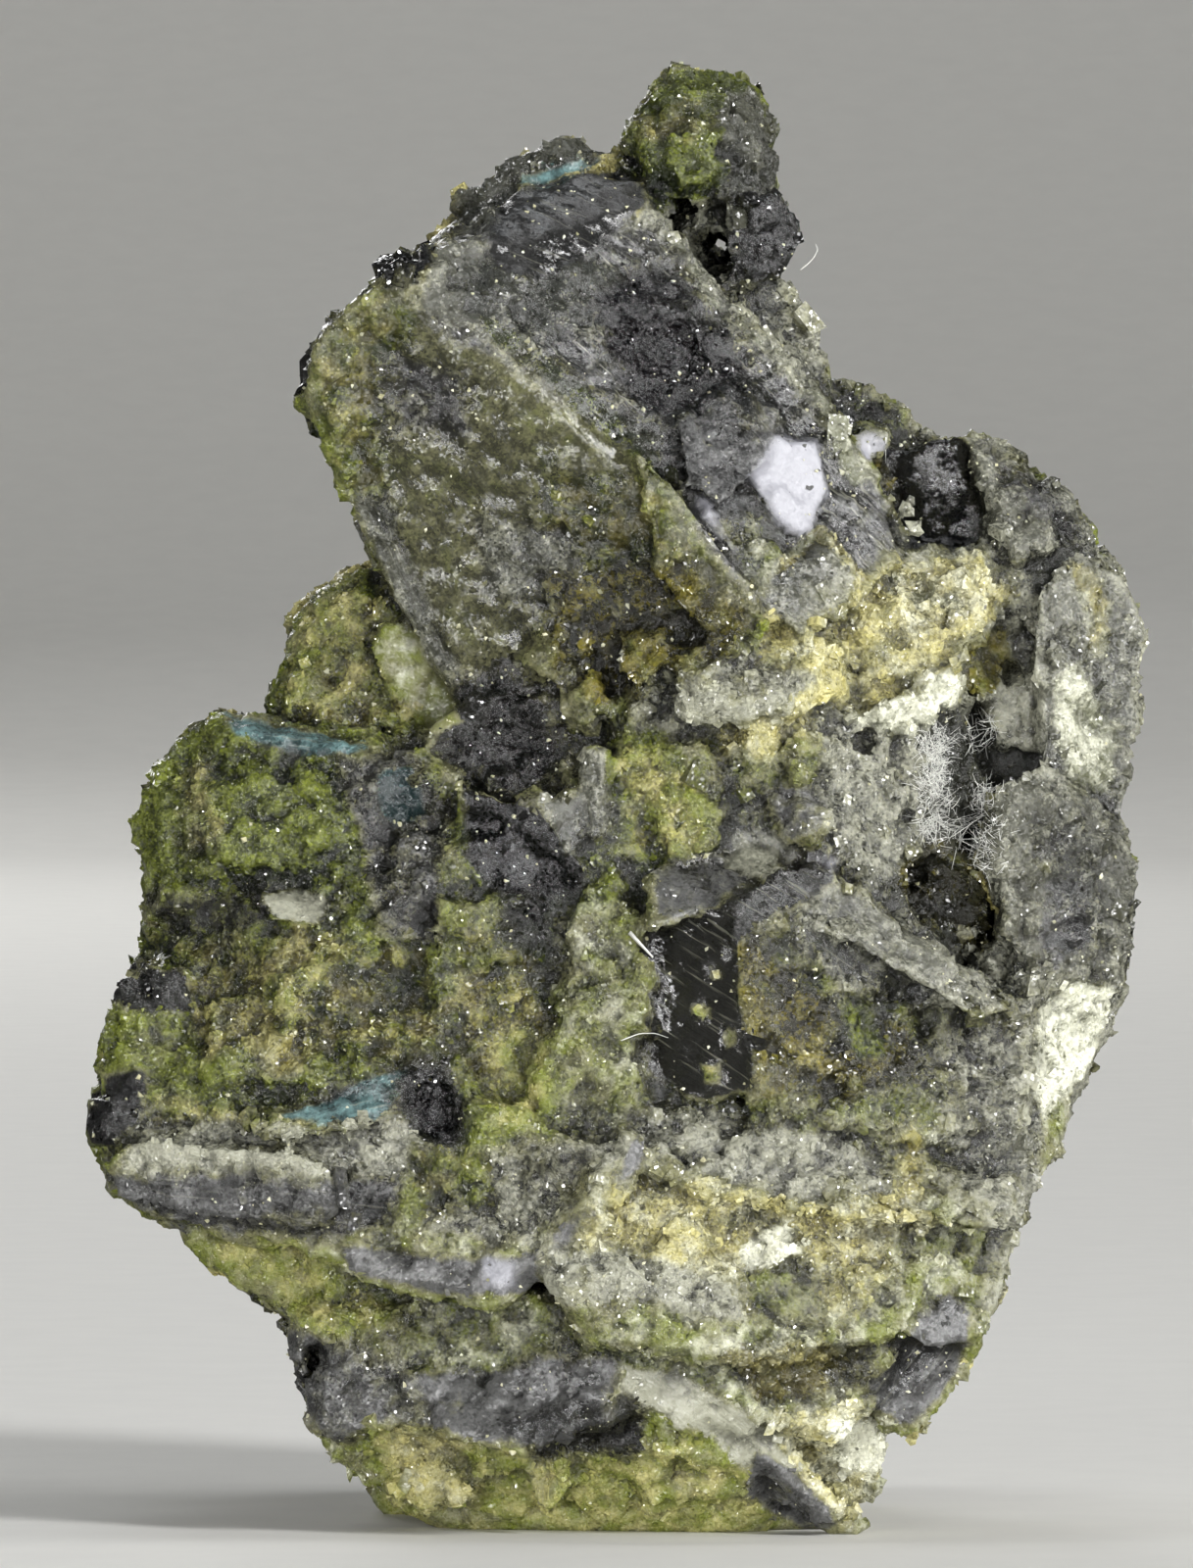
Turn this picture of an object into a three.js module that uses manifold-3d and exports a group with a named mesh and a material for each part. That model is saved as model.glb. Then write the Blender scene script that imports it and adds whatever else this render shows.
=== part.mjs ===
// Epidote crystal cluster: stubby dark-green prisms and granular crust grown together in one piece.
// Millimetres, +Z up. The side with the large olive crystal face looks along -Y.
// The origin is under the middle of the outer box, on the flat cut that the cluster rests on.

import * as THREE from 'three';
import { ConvexGeometry } from 'three/addons/geometries/ConvexGeometry.js';
import { mergeVertices } from 'three/addons/utils/BufferGeometryUtils.js';
import Module from 'manifold-3d';

const wasm = await Module();
wasm.setup();

// Driving dimension, in millimetres
const HEIGHT = 20;

// Every form below is placed on a grid of HEIGHT / GRID_ROWS squares: [across, up] or [across, deep, up].
// FAR is a reach past every form, and corners closer than VERTEX_GAP are one corner.
const GRID_ROWS = 14.77;
const GRID = HEIGHT / GRID_ROWS;
const FAR = 9;
const VERTEX_GAP = 1e-3;

// How much a crystal block's outline narrows towards a bevelled face, and how wide its far end stays
const INSET = 0.2;
const TAPER = 0.7;

// How much of a chunk's edge a corner cut takes, and how uneven a lump is
const CORNER_CUT = [0.35, 0.8];
const LUMP_REACH = [0.8, 1.12];
const LUMP_TWIST = 0.3;

// The chisel at a prism's end, as shares of its half length and of its width, and its two edge points
const CHISEL_OF_LENGTH = 0.5;
const CHISEL_OF_WIDTH = 0.45;
const CHISEL_SLOPE = 0.4;
const CHISEL_EDGE = [[0.2, 0], [0.3, 0.3]];

const RANDOM_SEED = 41;

// Repeatable numbers from 0 to 1, from a small integer hash
function seededRandom(seed) {
  let state = seed;
  return () => {
    state = (state + 0x6d2b79f5) | 0;
    let mixed = Math.imul(state ^ (state >>> 15), 1 | state);
    mixed = (mixed + Math.imul(mixed ^ (mixed >>> 7), 61 | mixed)) ^ mixed;
    return ((mixed ^ (mixed >>> 14)) >>> 0) / 4294967296;
  };
}

const random = seededRandom(RANDOM_SEED);
const between = (low, high) => low + (high - low) * random();

function solidOf(geometry) {
  const bare = geometry.clone();
  bare.deleteAttribute('normal');
  bare.deleteAttribute('uv');
  const merged = mergeVertices(bare, VERTEX_GAP);
  return new wasm.Manifold(new wasm.Mesh({
    numProp: 3,
    vertProperties: new Float32Array(merged.attributes.position.array),
    triVerts: new Uint32Array(merged.index.array),
  }));
}

function geometryOf(solid) {
  const mesh = solid.getMesh();
  const geometry = new THREE.BufferGeometry();
  geometry.setAttribute('position', new THREE.BufferAttribute(new Float32Array(mesh.vertProperties), 3));
  geometry.setIndex(new THREE.BufferAttribute(new Uint32Array(mesh.triVerts), 1));
  geometry.computeVertexNormals();
  return geometry;
}

const hullOf = (points) => solidOf(new ConvexGeometry(points.map((point) => new THREE.Vector3(...point))));
const joined = (solids) => solids.reduce((whole, next) => whole.add(next));

// Blocks that lean together can close off a small void: only the outermost shell is kept.
const outerShell = (solid) => solid.decompose().sort((one, other) => other.volume() - one.volume())[0];

function centreOf(outline) {
  const sum = outline.reduce(([across, up], [x, z]) => [across + x, up + z], [0, 0]);
  return sum.map((total) => total / outline.length);
}

// A convex block with one flat face of the given outline. lean is how fast that face falls back
// to the right and upwards, bevel is the depth of the sloping rim round it, if it has one, and
// the block narrows to a share, taper, at its other end.
function block({ outline, face, lean = [0, 0], bevel = 0, inset = INSET, end, taper = TAPER }) {
  const [middleX, middleZ] = centreOf(outline);
  const scaled = (share) => outline.map(([x, z]) => [
    middleX + (x - middleX) * share,
    middleZ + (z - middleZ) * share,
  ]);
  const depthAt = ([x, z]) => face + lean[0] * (x - middleX) + lean[1] * (z - middleZ);
  const faceRing = scaled(bevel > 0 ? 1 - inset : 1).map((spot) => [spot[0], depthAt(spot), spot[1]]);
  const rimRing = bevel > 0 ? outline.map((spot) => [spot[0], depthAt(spot) + bevel, spot[1]]) : [];
  const endRing = scaled(taper).map((spot) => [spot[0], end, spot[1]]);
  return hullOf([...faceRing, ...rimRing, ...endRing]);
}

// A cutter that opens from far outside down to a leaning floor
function hollow({ outline, floor, lean = [0, 0], shrink = 0.6 }) {
  const [middleX, middleZ] = centreOf(outline);
  const floorRing = outline.map(([x, z]) => {
    const across = middleX + (x - middleX) * shrink;
    const up = middleZ + (z - middleZ) * shrink;
    return [across, floor + lean[0] * (across - middleX) + lean[1] * (up - middleZ), up];
  });
  const mouthRing = outline.map(([x, z]) => [x, -FAR, z]);
  return hullOf([...floorRing, ...mouthRing]);
}

// A stubby epidote prism: a flattened six-sided section with a sloping chisel at each end
function prism({ at, along, length, width, thickness, roll = 0 }) {
  const half = length / 2;
  const chisel = Math.min(half * CHISEL_OF_LENGTH, width * CHISEL_OF_WIDTH);
  const section = [[1, 0], [0.5, 1], [-0.5, 1], [-1, 0], [-0.5, -1], [0.5, -1]];
  const points = [];
  for (const end of [-1, 1]) {
    for (const [wide, thick] of section) {
      const reach = half - chisel * (1 - CHISEL_SLOPE + CHISEL_SLOPE * wide * end);
      points.push(new THREE.Vector3(wide * width / 2, thick * thickness / 2, end * reach));
    }
    for (const [wide, thick] of CHISEL_EDGE) {
      points.push(new THREE.Vector3(-wide * width * end, thick * thickness, end * half));
    }
  }
  const turn = new THREE.Quaternion().setFromUnitVectors(
    new THREE.Vector3(0, 0, 1),
    new THREE.Vector3(...along).normalize(),
  );
  const spin = new THREE.Quaternion().setFromAxisAngle(new THREE.Vector3(0, 0, 1), roll);
  turn.multiply(spin);
  return hullOf(points.map((point) => point.applyQuaternion(turn).add(new THREE.Vector3(...at)).toArray()));
}

// A blocky broken crystal: a box turned about its middle, with a slanted cut at every other corner
function chunk({ at, size, turn }) {
  const points = [];
  const turned = new THREE.Euler(...turn);
  for (const x of [-1, 1]) {
    for (const y of [-1, 1]) {
      for (const z of [-1, 1]) {
        const cut = x * y * z > 0 ? between(...CORNER_CUT) : 0;
        points.push([x * (1 - cut), y, z], [x, y * (1 - cut), z], [x, y, z * (1 - cut)]);
      }
    }
  }
  return hullOf(points.map(([x, y, z]) => {
    const half = new THREE.Vector3(x * size[0] / 2, y * size[1] / 2, z * size[2] / 2);
    return half.applyEuler(turned).add(new THREE.Vector3(...at)).toArray();
  }));
}

// An irregular rounded lump of crust
function lump({ at, radius, squash = 0.8, corners = 8 }) {
  const golden = Math.PI * (3 - Math.sqrt(5));
  const points = [];
  for (let i = 0; i < corners; i += 1) {
    const level = 1 - (2 * (i + 0.5)) / corners;
    const ring = Math.sqrt(1 - level * level);
    const reach = radius * between(...LUMP_REACH);
    const angle = i * golden + between(-LUMP_TWIST, LUMP_TWIST);
    points.push([
      at[0] + reach * ring * Math.cos(angle),
      at[1] + reach * ring * Math.sin(angle) * squash,
      at[2] + reach * level,
    ]);
  }
  return hullOf(points);
}

// The large leaning crystal: the olive face and the striated face meet along a ridge
const RIDGE_TOP = [-1.8, 12.35];
const RIDGE_DEPTH = -3.3;
const OLIVE_LEAN = [-0.24, -0.26];
const STRIATED_LEAN = [0.54, 0.58];
const CAP_LEAN = [0.12, 0.95];
const CAP_DEPTH = -2.95;

function facePoint([x, z], lean, depth = RIDGE_DEPTH) {
  return [x, depth + lean[0] * (x - RIDGE_TOP[0]) + lean[1] * (z - RIDGE_TOP[1]), z];
}

function upperCrystal() {
  const olive = [
    [-3.2, 11.9], [-3.25, 11.4], [-2.9, 10.5], [-2.45, 9.6], [-1.5, 7.95], [0.3, 8.3], [-2.5, 12.6],
  ];
  const striated = [
    RIDGE_TOP, [1.5, 9.25], [-1.9, 12.7], [0.5, 12.95], [1.5, 12.05], [2.15, 11.3], [2.6, 10.4],
    [2.8, 9.8], [2.3, 9.3],
  ];
  const cap = [[-1.4, 13.25], [-1.05, 13.5], [-0.4, 13.68], [0.1, 13.62], [0.25, 13.4]];
  const rear = [
    [-1.3, 0.6, 13.5], [0.6, 0.8, 13.3], [-2.6, 1.2, 12.1], [-2.85, 0.8, 10.8], [2.3, 1.4, 11.2],
    [2.6, 1.8, 9.5], [-1.8, 1.6, 8.2], [1.2, 2.2, 8.4],
  ];
  const body = hullOf([
    ...olive.map((spot) => facePoint(spot, OLIVE_LEAN)),
    ...striated.map((spot) => facePoint(spot, STRIATED_LEAN)),
    ...cap.map((spot) => facePoint(spot, CAP_LEAN, CAP_DEPTH)),
    ...rear,
  ]);
  const hump = block({
    outline: [
      [-1.75, 13.1], [-1.7, 13.45], [-1.4, 13.67], [-1.05, 13.95], [-0.6, 14.05], [-0.1, 13.85],
      [0.2, 13.2],
    ],
    face: -1.35, lean: [0, 0.5], bevel: 0.3, inset: 0.3, end: 0.5, taper: 0.6,
  });
  const leftRim = block({
    outline: [
      [-3.3, 11.3], [-3.28, 11.75], [-3.05, 12.1], [-2.7, 12.5], [-2.3, 12.6], [-2.1, 12.2], [-2.9, 10.7],
    ],
    face: -2.75, lean: [-0.3, 0.2], bevel: 0.4, inset: 0.3, end: 0.4,
  });
  const whiteFacet = block({
    outline: [[1.28, 10.6], [1.55, 11.05], [1.95, 10.98], [2.07, 10.45], [1.82, 9.98], [1.5, 10.2]],
    face: -2.72, lean: [0.42, 0.3], end: -0.5,
  });
  const greyFacet = block({
    outline: [[1.6, 9.75], [2.1, 9.95], [2.36, 9.6], [2.2, 9.15], [1.75, 9.0], [1.5, 9.35]],
    face: -3.05, lean: [0.2, 0.55], end: -0.5,
  });
  const edgeStrip = block({
    outline: [[2.0, 11.3], [2.3, 11.1], [2.65, 10.45], [2.87, 9.85], [2.6, 9.5], [2.25, 9.85]],
    face: -2.05, lean: [0.8, 0.25], end: 0.6,
  });
  const brokenStep = block({
    outline: [[0.5, 11.2], [1.0, 11.55], [1.6, 11.3], [1.45, 10.75], [0.95, 10.3], [0.6, 10.6]],
    face: -2.95, lean: [0.35, 0.75], end: -0.5,
  });
  const cornerStep = block({
    outline: [[-1.95, 12.3], [-1.85, 12.95], [-1.3, 13.05], [-0.9, 12.75], [-1.2, 12.2], [-1.6, 12.1]],
    face: -3.0, lean: [0.3, 0.6], end: -0.5,
  });
  const lowerRidge = block({
    outline: [[0.05, 10.95], [0.45, 10.6], [1.3, 9.5], [1.5, 9.1], [1.0, 8.8], [0.3, 9.6]],
    face: -3.5, lean: [-0.2, -0.12], end: -0.5,
  });
  return [body, hump, leftRim, whiteFacet, greyFacet, edgeStrip, brokenStep, cornerStep, lowerRidge];
}

// Fine ribs along the striated face, parallel to the ridge: thin spindles half sunk in it
const RIB_ALONG = new THREE.Vector3(0.73, 0.02, -0.68).normalize();
const RIB_ACROSS = new THREE.Vector3(0.6, 0.5, 0.62).normalize();
const RIBS = [
  { at: [1.0, 12.35], length: 2.4 }, { at: [1.35, 12.1], length: 2.4 }, { at: [1.05, 11.85], length: 2.0 },
  { at: [1.75, 11.5], length: 2.0 }, { at: [2.3, 10.75], length: 2.0 }, { at: [-0.7, 12.25], length: 1.8 },
  { at: [-1.0, 12.0], length: 1.6 }, { at: [0.2, 11.25], length: 1.4 },
];
const RIB_WIDTH = 0.2;
const RIB_HEIGHT = 0.12;

function striations() {
  return RIBS.map(({ at, length }) => {
    const middle = new THREE.Vector3(...facePoint(at, STRIATED_LEAN));
    const outward = new THREE.Vector3().crossVectors(RIB_ALONG, RIB_ACROSS).normalize();
    const points = [];
    for (const side of [-0.5, 0.5]) {
      points.push(middle.clone().addScaledVector(RIB_ALONG, side * length));
      points.push(middle.clone().addScaledVector(RIB_ACROSS, side * RIB_WIDTH));
      points.push(middle.clone().addScaledVector(outward, 2 * side * RIB_HEIGHT));
    }
    return hullOf(points.map((point) => point.toArray()));
  });
}

// The round knob on top, the dark block under it and the thin pale strip behind the large crystal
function knob() {
  return [
    block({
      outline: [
        [-0.1, 13.95], [0.08, 14.25], [0.32, 14.65], [0.55, 14.77], [1.05, 14.75], [1.45, 14.4],
        [1.55, 13.9], [1.5, 13.3], [0.6, 13.0], [0.1, 13.4],
      ],
      face: -1.25, lean: [0.15, 0.3], bevel: 0.55, inset: 0.35, end: 0.5, taper: 0.6,
    }),
    block({
      outline: [
        [1.0, 13.4], [1.55, 13.5], [1.8, 13.2], [1.78, 12.95], [1.6, 12.6], [1.25, 12.5], [1.0, 12.8],
      ],
      face: -1.5, lean: [0.3, -0.1], end: 0.2,
    }),
    block({
      outline: [
        [1.4, 12.7], [1.75, 12.5], [1.95, 12.1], [2.05, 11.7], [2.2, 11.3], [1.5, 11.8], [1.2, 12.4],
      ],
      face: -1.0, lean: [0.4, 0.2], end: 0.4,
    }),
    block({
      outline: [[0.3, 13.9], [0.75, 14.35], [1.1, 14.1], [1.0, 13.6], [0.5, 13.4]],
      face: -1.6, lean: [0, 0.35], bevel: 0.3, inset: 0.3, end: 0.2,
    }),
  ];
}

// Upper right: a slab at the back, a black face and the grey shoulder
function rightShoulder() {
  return [
    block({
      outline: [
        [2.0, 11.7], [2.3, 11.63], [2.65, 11.45], [2.95, 11.2], [3.2, 11.0], [3.0, 10.5], [2.2, 10.5],
      ],
      face: -0.7, lean: [0.1, 0.4], end: 0.8,
    }),
    block({
      outline: [[2.32, 11.1], [2.72, 11.1], [2.68, 10.85], [2.45, 10.75]],
      face: -1.25, lean: [0.3, 0.3], end: 0.4,
    }),
    block({
      outline: [[2.6, 10.85], [3.4, 11.07], [3.65, 10.9], [3.75, 9.95], [2.8, 9.8]],
      face: -1.05, lean: [-0.25, 0.1], end: 1.0,
    }),
    block({
      outline: [
        [3.4, 11.05], [3.75, 11.02], [4.0, 10.9], [4.15, 10.65], [4.6, 10.35], [4.9, 9.85],
        [5.0, 9.5], [4.6, 9.1], [3.9, 9.2], [3.65, 9.9],
      ],
      face: -1.45, lean: [0.45, 0.45], bevel: 0.3, inset: 0.25, end: 0.9, taper: 0.6,
    }),
    block({
      outline: [[3.65, 10.5], [3.95, 10.65], [4.3, 10.35], [4.4, 9.9], [4.0, 9.7], [3.7, 10.0]],
      face: -1.85, lean: [0.3, 0.6], bevel: 0.25, inset: 0.3, end: 0,
    }),
  ];
}

// Right side: a smooth upright bar, the dark chunk under it and the bright face that looks right
function rightSide() {
  return [
    block({
      outline: [
        [4.15, 9.4], [4.6, 9.85], [5.05, 9.6], [5.2, 9.35], [5.28, 9.0], [5.25, 8.6],
        [5.18, 7.9], [5.05, 7.1], [4.6, 6.9], [4.2, 7.2], [4.1, 8.4],
      ],
      face: -1.95, lean: [0.55, 0.05], end: 0.8, taper: 0.75,
    }),
    block({
      outline: [[3.5, 9.4], [4.2, 9.3], [4.25, 6.8], [3.7, 6.9], [3.4, 8.3]],
      face: -1.6, lean: [-0.2, 0.05], end: 1.8,
    }),
    block({
      outline: [
        [3.72, 7.5], [4.2, 7.72], [4.7, 7.5], [5.05, 7.1], [5.18, 6.5], [5.15, 5.85], [5.08, 5.4],
        [4.6, 5.2], [4.0, 5.3], [3.68, 6.0], [3.62, 6.8],
      ],
      face: -2.75, lean: [0.45, 0.1], bevel: 0.25, inset: 0.2, end: 0.8, taper: 0.65,
    }),
    block({
      outline: [
        [4.1, 5.6], [4.6, 5.7], [5.1, 5.4], [4.85, 4.95], [4.65, 4.6], [4.45, 3.9], [4.1, 3.4], [3.9, 4.4],
      ],
      face: -2.6, lean: [1.1, 0.1], end: 0.8,
    }),
    block({
      outline: [[3.5, 9.0], [3.85, 9.2], [4.1, 9.0], [4.15, 8.4], [3.8, 8.2], [3.45, 8.5]],
      face: -1.75, lean: [0.2, 0.3], end: 0.5,
    }),
  ];
}

// Bright granular ledge under the large crystal, with its lumps and the pale slab above the cavity
function middleLedge() {
  return [
    block({
      outline: [
        [2.4, 9.85], [2.85, 10.05], [3.75, 9.9], [3.9, 9.45], [3.7, 8.9], [2.9, 8.45], [2.2, 8.4],
        [2.2, 9.1],
      ],
      face: -2.35, lean: [0.15, 0.5], bevel: 0.3, inset: 0.25, end: 2.0,
    }),
    block({
      outline: [
        [0, 8.5], [1.3, 9.35], [2.3, 9.1], [2.5, 8.45], [2.2, 7.6], [1.2, 6.8], [0.2, 6.8], [-0.3, 7.6],
      ],
      face: -3.1, lean: [0.12, 0.3], bevel: 0.25, inset: 0.2, end: 2.2,
    }),
    block({
      outline: [[0.4, 8.9], [1.2, 9.2], [2.0, 8.95], [2.1, 8.4], [1.3, 8.1], [0.5, 8.2]],
      face: -3.45, lean: [0.15, 0.5], bevel: 0.25, inset: 0.3, end: 0,
    }),
    block({
      outline: [[2.0, 8.35], [2.6, 8.45], [3.0, 8.2], [3.15, 7.3], [2.9, 6.5], [2.2, 6.6], [1.95, 7.3]],
      face: -2.85, lean: [0.35, 0.2], end: 1.8,
    }),
    block({
      outline: [[2.3, 8.2], [2.95, 8.5], [3.4, 8.85], [3.45, 8.5], [3.1, 8.0], [2.5, 7.95]],
      face: -2.75, lean: [0.35, -0.35], end: 0.5,
    }),
    block({
      outline: [[2.95, 8.1], [3.3, 8.15], [3.6, 7.6], [3.55, 6.9], [3.1, 6.85], [2.85, 7.5]],
      face: -2.2, lean: [0.5, 0.1], end: 1.2,
    }),
    block({
      outline: [[0.3, 7.9], [0.75, 8.0], [1.05, 7.5], [0.9, 6.95], [0.45, 6.9], [0.2, 7.4]],
      face: -3.5, lean: [-0.1, 0.3], end: 0,
    }),
    lump({ at: [1.95, -2.75, 8.65], radius: 0.46 }),
    lump({ at: [2.62, -2.35, 9.2], radius: 0.42 }),
    lump({ at: [3.35, -2.05, 9.5], radius: 0.4 }),
    lump({ at: [1.3, -3.2, 7.85], radius: 0.42 }),
    prism({
      at: [1.72, -3.3, 7.2], along: [0.7, -0.6, -0.45],
      length: 0.95, width: 0.6, thickness: 0.5, roll: 0.4,
    }),
    prism({
      at: [2.05, -3.05, 6.75], along: [0.3, -0.2, 1],
      length: 0.7, width: 0.35, thickness: 0.3, roll: 1.0,
    }),
    prism({
      at: [-0.3, -3.25, 7.4], along: [0.12, 0.05, 1],
      length: 1.1, width: 0.42, thickness: 0.45, roll: 0.6,
    }),
    prism({
      at: [-0.62, -3.2, 7.2], along: [0.5, -0.2, 0.9],
      length: 0.7, width: 0.45, thickness: 0.3, roll: 1.1,
    }),
  ];
}

// Middle right: a black mirror face on the left, and a brown pitted face with a sharp upper edge
function centralCrystal() {
  return [
    block({
      outline: [
        [0.22, 6.0], [0.6, 6.25], [1.1, 6.45], [1.2, 5.85], [1.32, 4.95], [1.38, 4.45], [0.8, 4.3],
        [0.2, 4.55],
      ],
      face: -4.0, lean: [-0.6, 0.05], end: 1.5,
    }),
    block({
      outline: [[0.2, 6.05], [0.25, 6.6], [0.6, 6.85], [1.2, 6.87], [1.55, 6.73], [1.05, 6.35]],
      face: -3.75, lean: [0, 1.1], end: 0.5,
    }),
    block({
      outline: [
        [1.05, 6.35], [1.5, 6.73], [1.9, 6.77], [2.5, 6.5], [2.7, 5.2], [2.3, 4.1], [1.35, 4.3], [1.2, 5.2],
      ],
      face: -4.05, lean: [0.25, 0.1], end: 2.2,
    }),
    block({
      outline: [[2.2, 6.55], [3.0, 6.05], [3.4, 5.75], [4.0, 5.35], [4.12, 4.4], [3.4, 3.9], [2.3, 4.1]],
      face: -3.6, lean: [0.45, 0.15], end: 2.0,
    }),
    block({
      outline: [[1.3, 4.7], [2.4, 4.6], [4.1, 4.6], [4.05, 3.4], [2.6, 3.3], [1.3, 3.5]],
      face: -3.85, lean: [0.32, -0.1], end: 2.0,
    }),
    block({
      outline: [[1.9, 6.6], [2.55, 6.38], [3.4, 5.65], [3.95, 5.25], [3.5, 5.2], [2.6, 5.75], [1.9, 6.15]],
      face: -3.95, lean: [0.35, 0.5], end: 0,
    }),
    block({
      outline: [
        [0.0, 4.35], [0.9, 4.3], [2.6, 3.65], [3.9, 3.6], [4.0, 3.1], [2.6, 3.15], [0.7, 3.5], [0.0, 3.8],
      ],
      face: -4.1, lean: [0.2, 0.7], end: 1.5,
    }),
  ];
}

// Left side: three terraces, each lower one reaching further out, over the grey bottom prism
function leftTerraces() {
  return [
    block({
      outline: [
        [-4.97, 7.1], [-4.88, 7.5], [-4.5, 7.9], [-4.15, 8.2], [-3.9, 8.23], [-3.6, 8.08], [-2.4, 8.0],
        [-2.0, 7.6], [-2.1, 6.8], [-2.8, 6.35], [-3.9, 6.1], [-4.88, 6.1],
      ],
      face: -2.45, lean: [-0.3, 0.3], bevel: 0.35, inset: 0.2, end: 2.5,
    }),
    block({
      outline: [[-4.5, 7.5], [-3.7, 7.75], [-2.9, 7.6], [-2.7, 6.9], [-3.3, 6.5], [-4.4, 6.6]],
      face: -2.85, lean: [-0.25, 0.35], bevel: 0.3, inset: 0.3, end: 0,
    }),
    block({
      outline: [[-3.7, 6.5], [-3.3, 6.45], [-3.0, 6.35], [-3.1, 6.1], [-3.6, 6.15]],
      face: -3.1, lean: [0, 1.2], end: 0,
    }),
    block({
      outline: [
        [-2.9, 7.0], [-2.75, 7.5], [-2.1, 7.9], [-1.6, 7.75], [-1.9, 6.9], [-2.5, 6.45], [-2.9, 6.6],
      ],
      face: -2.95, lean: [-0.1, 0.5], end: 0,
    }),
    block({
      outline: [
        [-5.3, 4.95], [-5.2, 5.4], [-4.9, 5.7], [-4.4, 5.8], [-3.4, 6.05], [-2.8, 6.1], [-2.1, 5.9],
        [-1.6, 5.45], [-1.7, 4.5], [-3.1, 4.4], [-5.3, 4.35],
      ],
      face: -3.0, lean: [-0.28, 0.55], bevel: 0.25, inset: 0.15, end: 2.3,
    }),
    block({
      outline: [[-5.2, 5.2], [-5.1, 5.55], [-4.85, 5.72], [-4.4, 5.65], [-4.3, 5.25], [-4.7, 5.1]],
      face: -2.75, lean: [-0.3, 0.3], end: 0.5,
    }),
    block({
      outline: [[-4.2, 5.3], [-3.2, 5.6], [-2.5, 5.4], [-2.2, 4.8], [-3.0, 4.5], [-4.2, 4.6]],
      face: -3.4, lean: [-0.2, 0.6], end: 0,
    }),
    block({
      outline: [
        [-5.45, 4.05], [-5.35, 4.5], [-4.4, 4.6], [-3.4, 4.55], [-2.2, 4.75], [-1.9, 4.4], [-0.4, 4.1],
        [0.1, 3.8], [-0.4, 3.4], [-1.0, 2.85], [-1.6, 2.55], [-2.9, 2.8], [-4.0, 3.1], [-4.9, 3.1],
        [-5.3, 3.4],
      ],
      face: -3.75, lean: [-0.25, 0.12], bevel: 0.35, inset: 0.08, end: 2.2,
    }),
    block({
      outline: [
        [-3.9, 4.15], [-3.2, 4.4], [-2.6, 4.6], [-2.1, 4.7], [-2.05, 4.3], [-2.6, 4.1], [-3.4, 4.0],
      ],
      face: -3.75, lean: [-0.1, 1.3], end: 0,
    }),
    block({
      outline: [
        [-5.25, 3.75], [-4.9, 4.0], [-3.2, 3.85], [-2.7, 3.5], [-3.0, 3.1], [-4.2, 3.2], [-5.1, 3.4],
      ],
      face: -3.8, lean: [-0.3, -0.1], end: 0.5,
    }),
    block({
      outline: [
        [-4.5, 2.95], [-4.0, 3.3], [-1.6, 2.7], [-1.9, 2.1], [-3.2, 2.05], [-3.6, 2.35], [-4.0, 2.45],
      ],
      face: -3.2, lean: [-0.25, -0.35], bevel: 0.25, inset: 0.15, end: 1.9,
    }),
    lump({ at: [-2.15, -2.95, 6.2], radius: 0.42 }),
    lump({ at: [-4.0, -2.75, 5.0], radius: 0.4 }),
    lump({ at: [-4.75, -2.9, 4.3], radius: 0.38 }),
  ];
}

// Small rounded lump behind the left edge of the large crystal, with a pale triangular face
function leftLump() {
  return [
    block({
      outline: [
        [-3.6, 8.2], [-3.48, 8.8], [-3.4, 9.15], [-3.1, 9.45], [-2.65, 9.75], [-2.3, 9.5], [-1.6, 8.1],
        [-2.0, 7.7], [-3.0, 7.7],
      ],
      face: -1.5, lean: [-0.2, 0.25], bevel: 0.35, inset: 0.25, end: 2.2,
    }),
    block({
      outline: [[-2.5, 9.15], [-2.2, 9.1], [-1.65, 8.1], [-2.0, 8.0], [-2.55, 8.7]],
      face: -1.85, lean: [-0.1, -0.2], end: 0.5,
    }),
  ];
}

// Centre left: a black pyramid, the amber face and the pale granular face beside the mirror face
function centreLeft() {
  return [
    block({
      outline: [[-1.7, 7.6], [-0.9, 7.3], [-0.35, 6.65], [-0.5, 6.4], [-1.2, 6.35], [-1.65, 6.75]],
      face: -3.35, lean: [-0.35, -0.3], end: 0.5,
    }),
    block({
      outline: [[-0.95, 7.45], [-0.4, 7.4], [-0.3, 6.95], [-0.55, 6.75]],
      face: -3.45, lean: [0.4, 0.1], end: 0.5,
    }),
    block({
      outline: [
        [-1.9, 6.4], [-1.0, 6.35], [-0.3, 5.8], [-0.5, 4.9], [-0.8, 4.2], [-1.5, 4.3], [-1.95, 5.3],
      ],
      face: -3.5, lean: [0.12, -0.05], end: 1.5,
    }),
    block({
      outline: [[-0.6, 6.3], [-0.1, 6.7], [0.25, 6.2], [0.28, 5.0], [-0.3, 4.9], [-0.7, 5.5]],
      face: -3.85, lean: [-0.25, 0.2], bevel: 0.25, inset: 0.2, end: 0,
    }),
    block({
      outline: [[-0.75, 5.5], [0.1, 5.6], [0.27, 4.5], [0.15, 3.8], [-0.6, 3.8], [-1.0, 4.4]],
      face: -4.0, lean: [-0.12, 0.12], bevel: 0.3, inset: 0.25, end: 0,
    }),
    block({
      outline: [[-2.0, 8.1], [-1.3, 8.4], [0.2, 8.4], [0.2, 7.4], [-0.5, 6.5], [-1.9, 6.9]],
      face: -2.55, lean: [0, -0.1], end: 1.5,
    }),
    lump({ at: [-0.4, -2.85, 8.35], radius: 0.4 }),
    lump({ at: [0.2, -3.1, 8.75], radius: 0.42 }),
    lump({ at: [-0.75, -2.75, 8.8], radius: 0.36 }),
  ];
}

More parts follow.
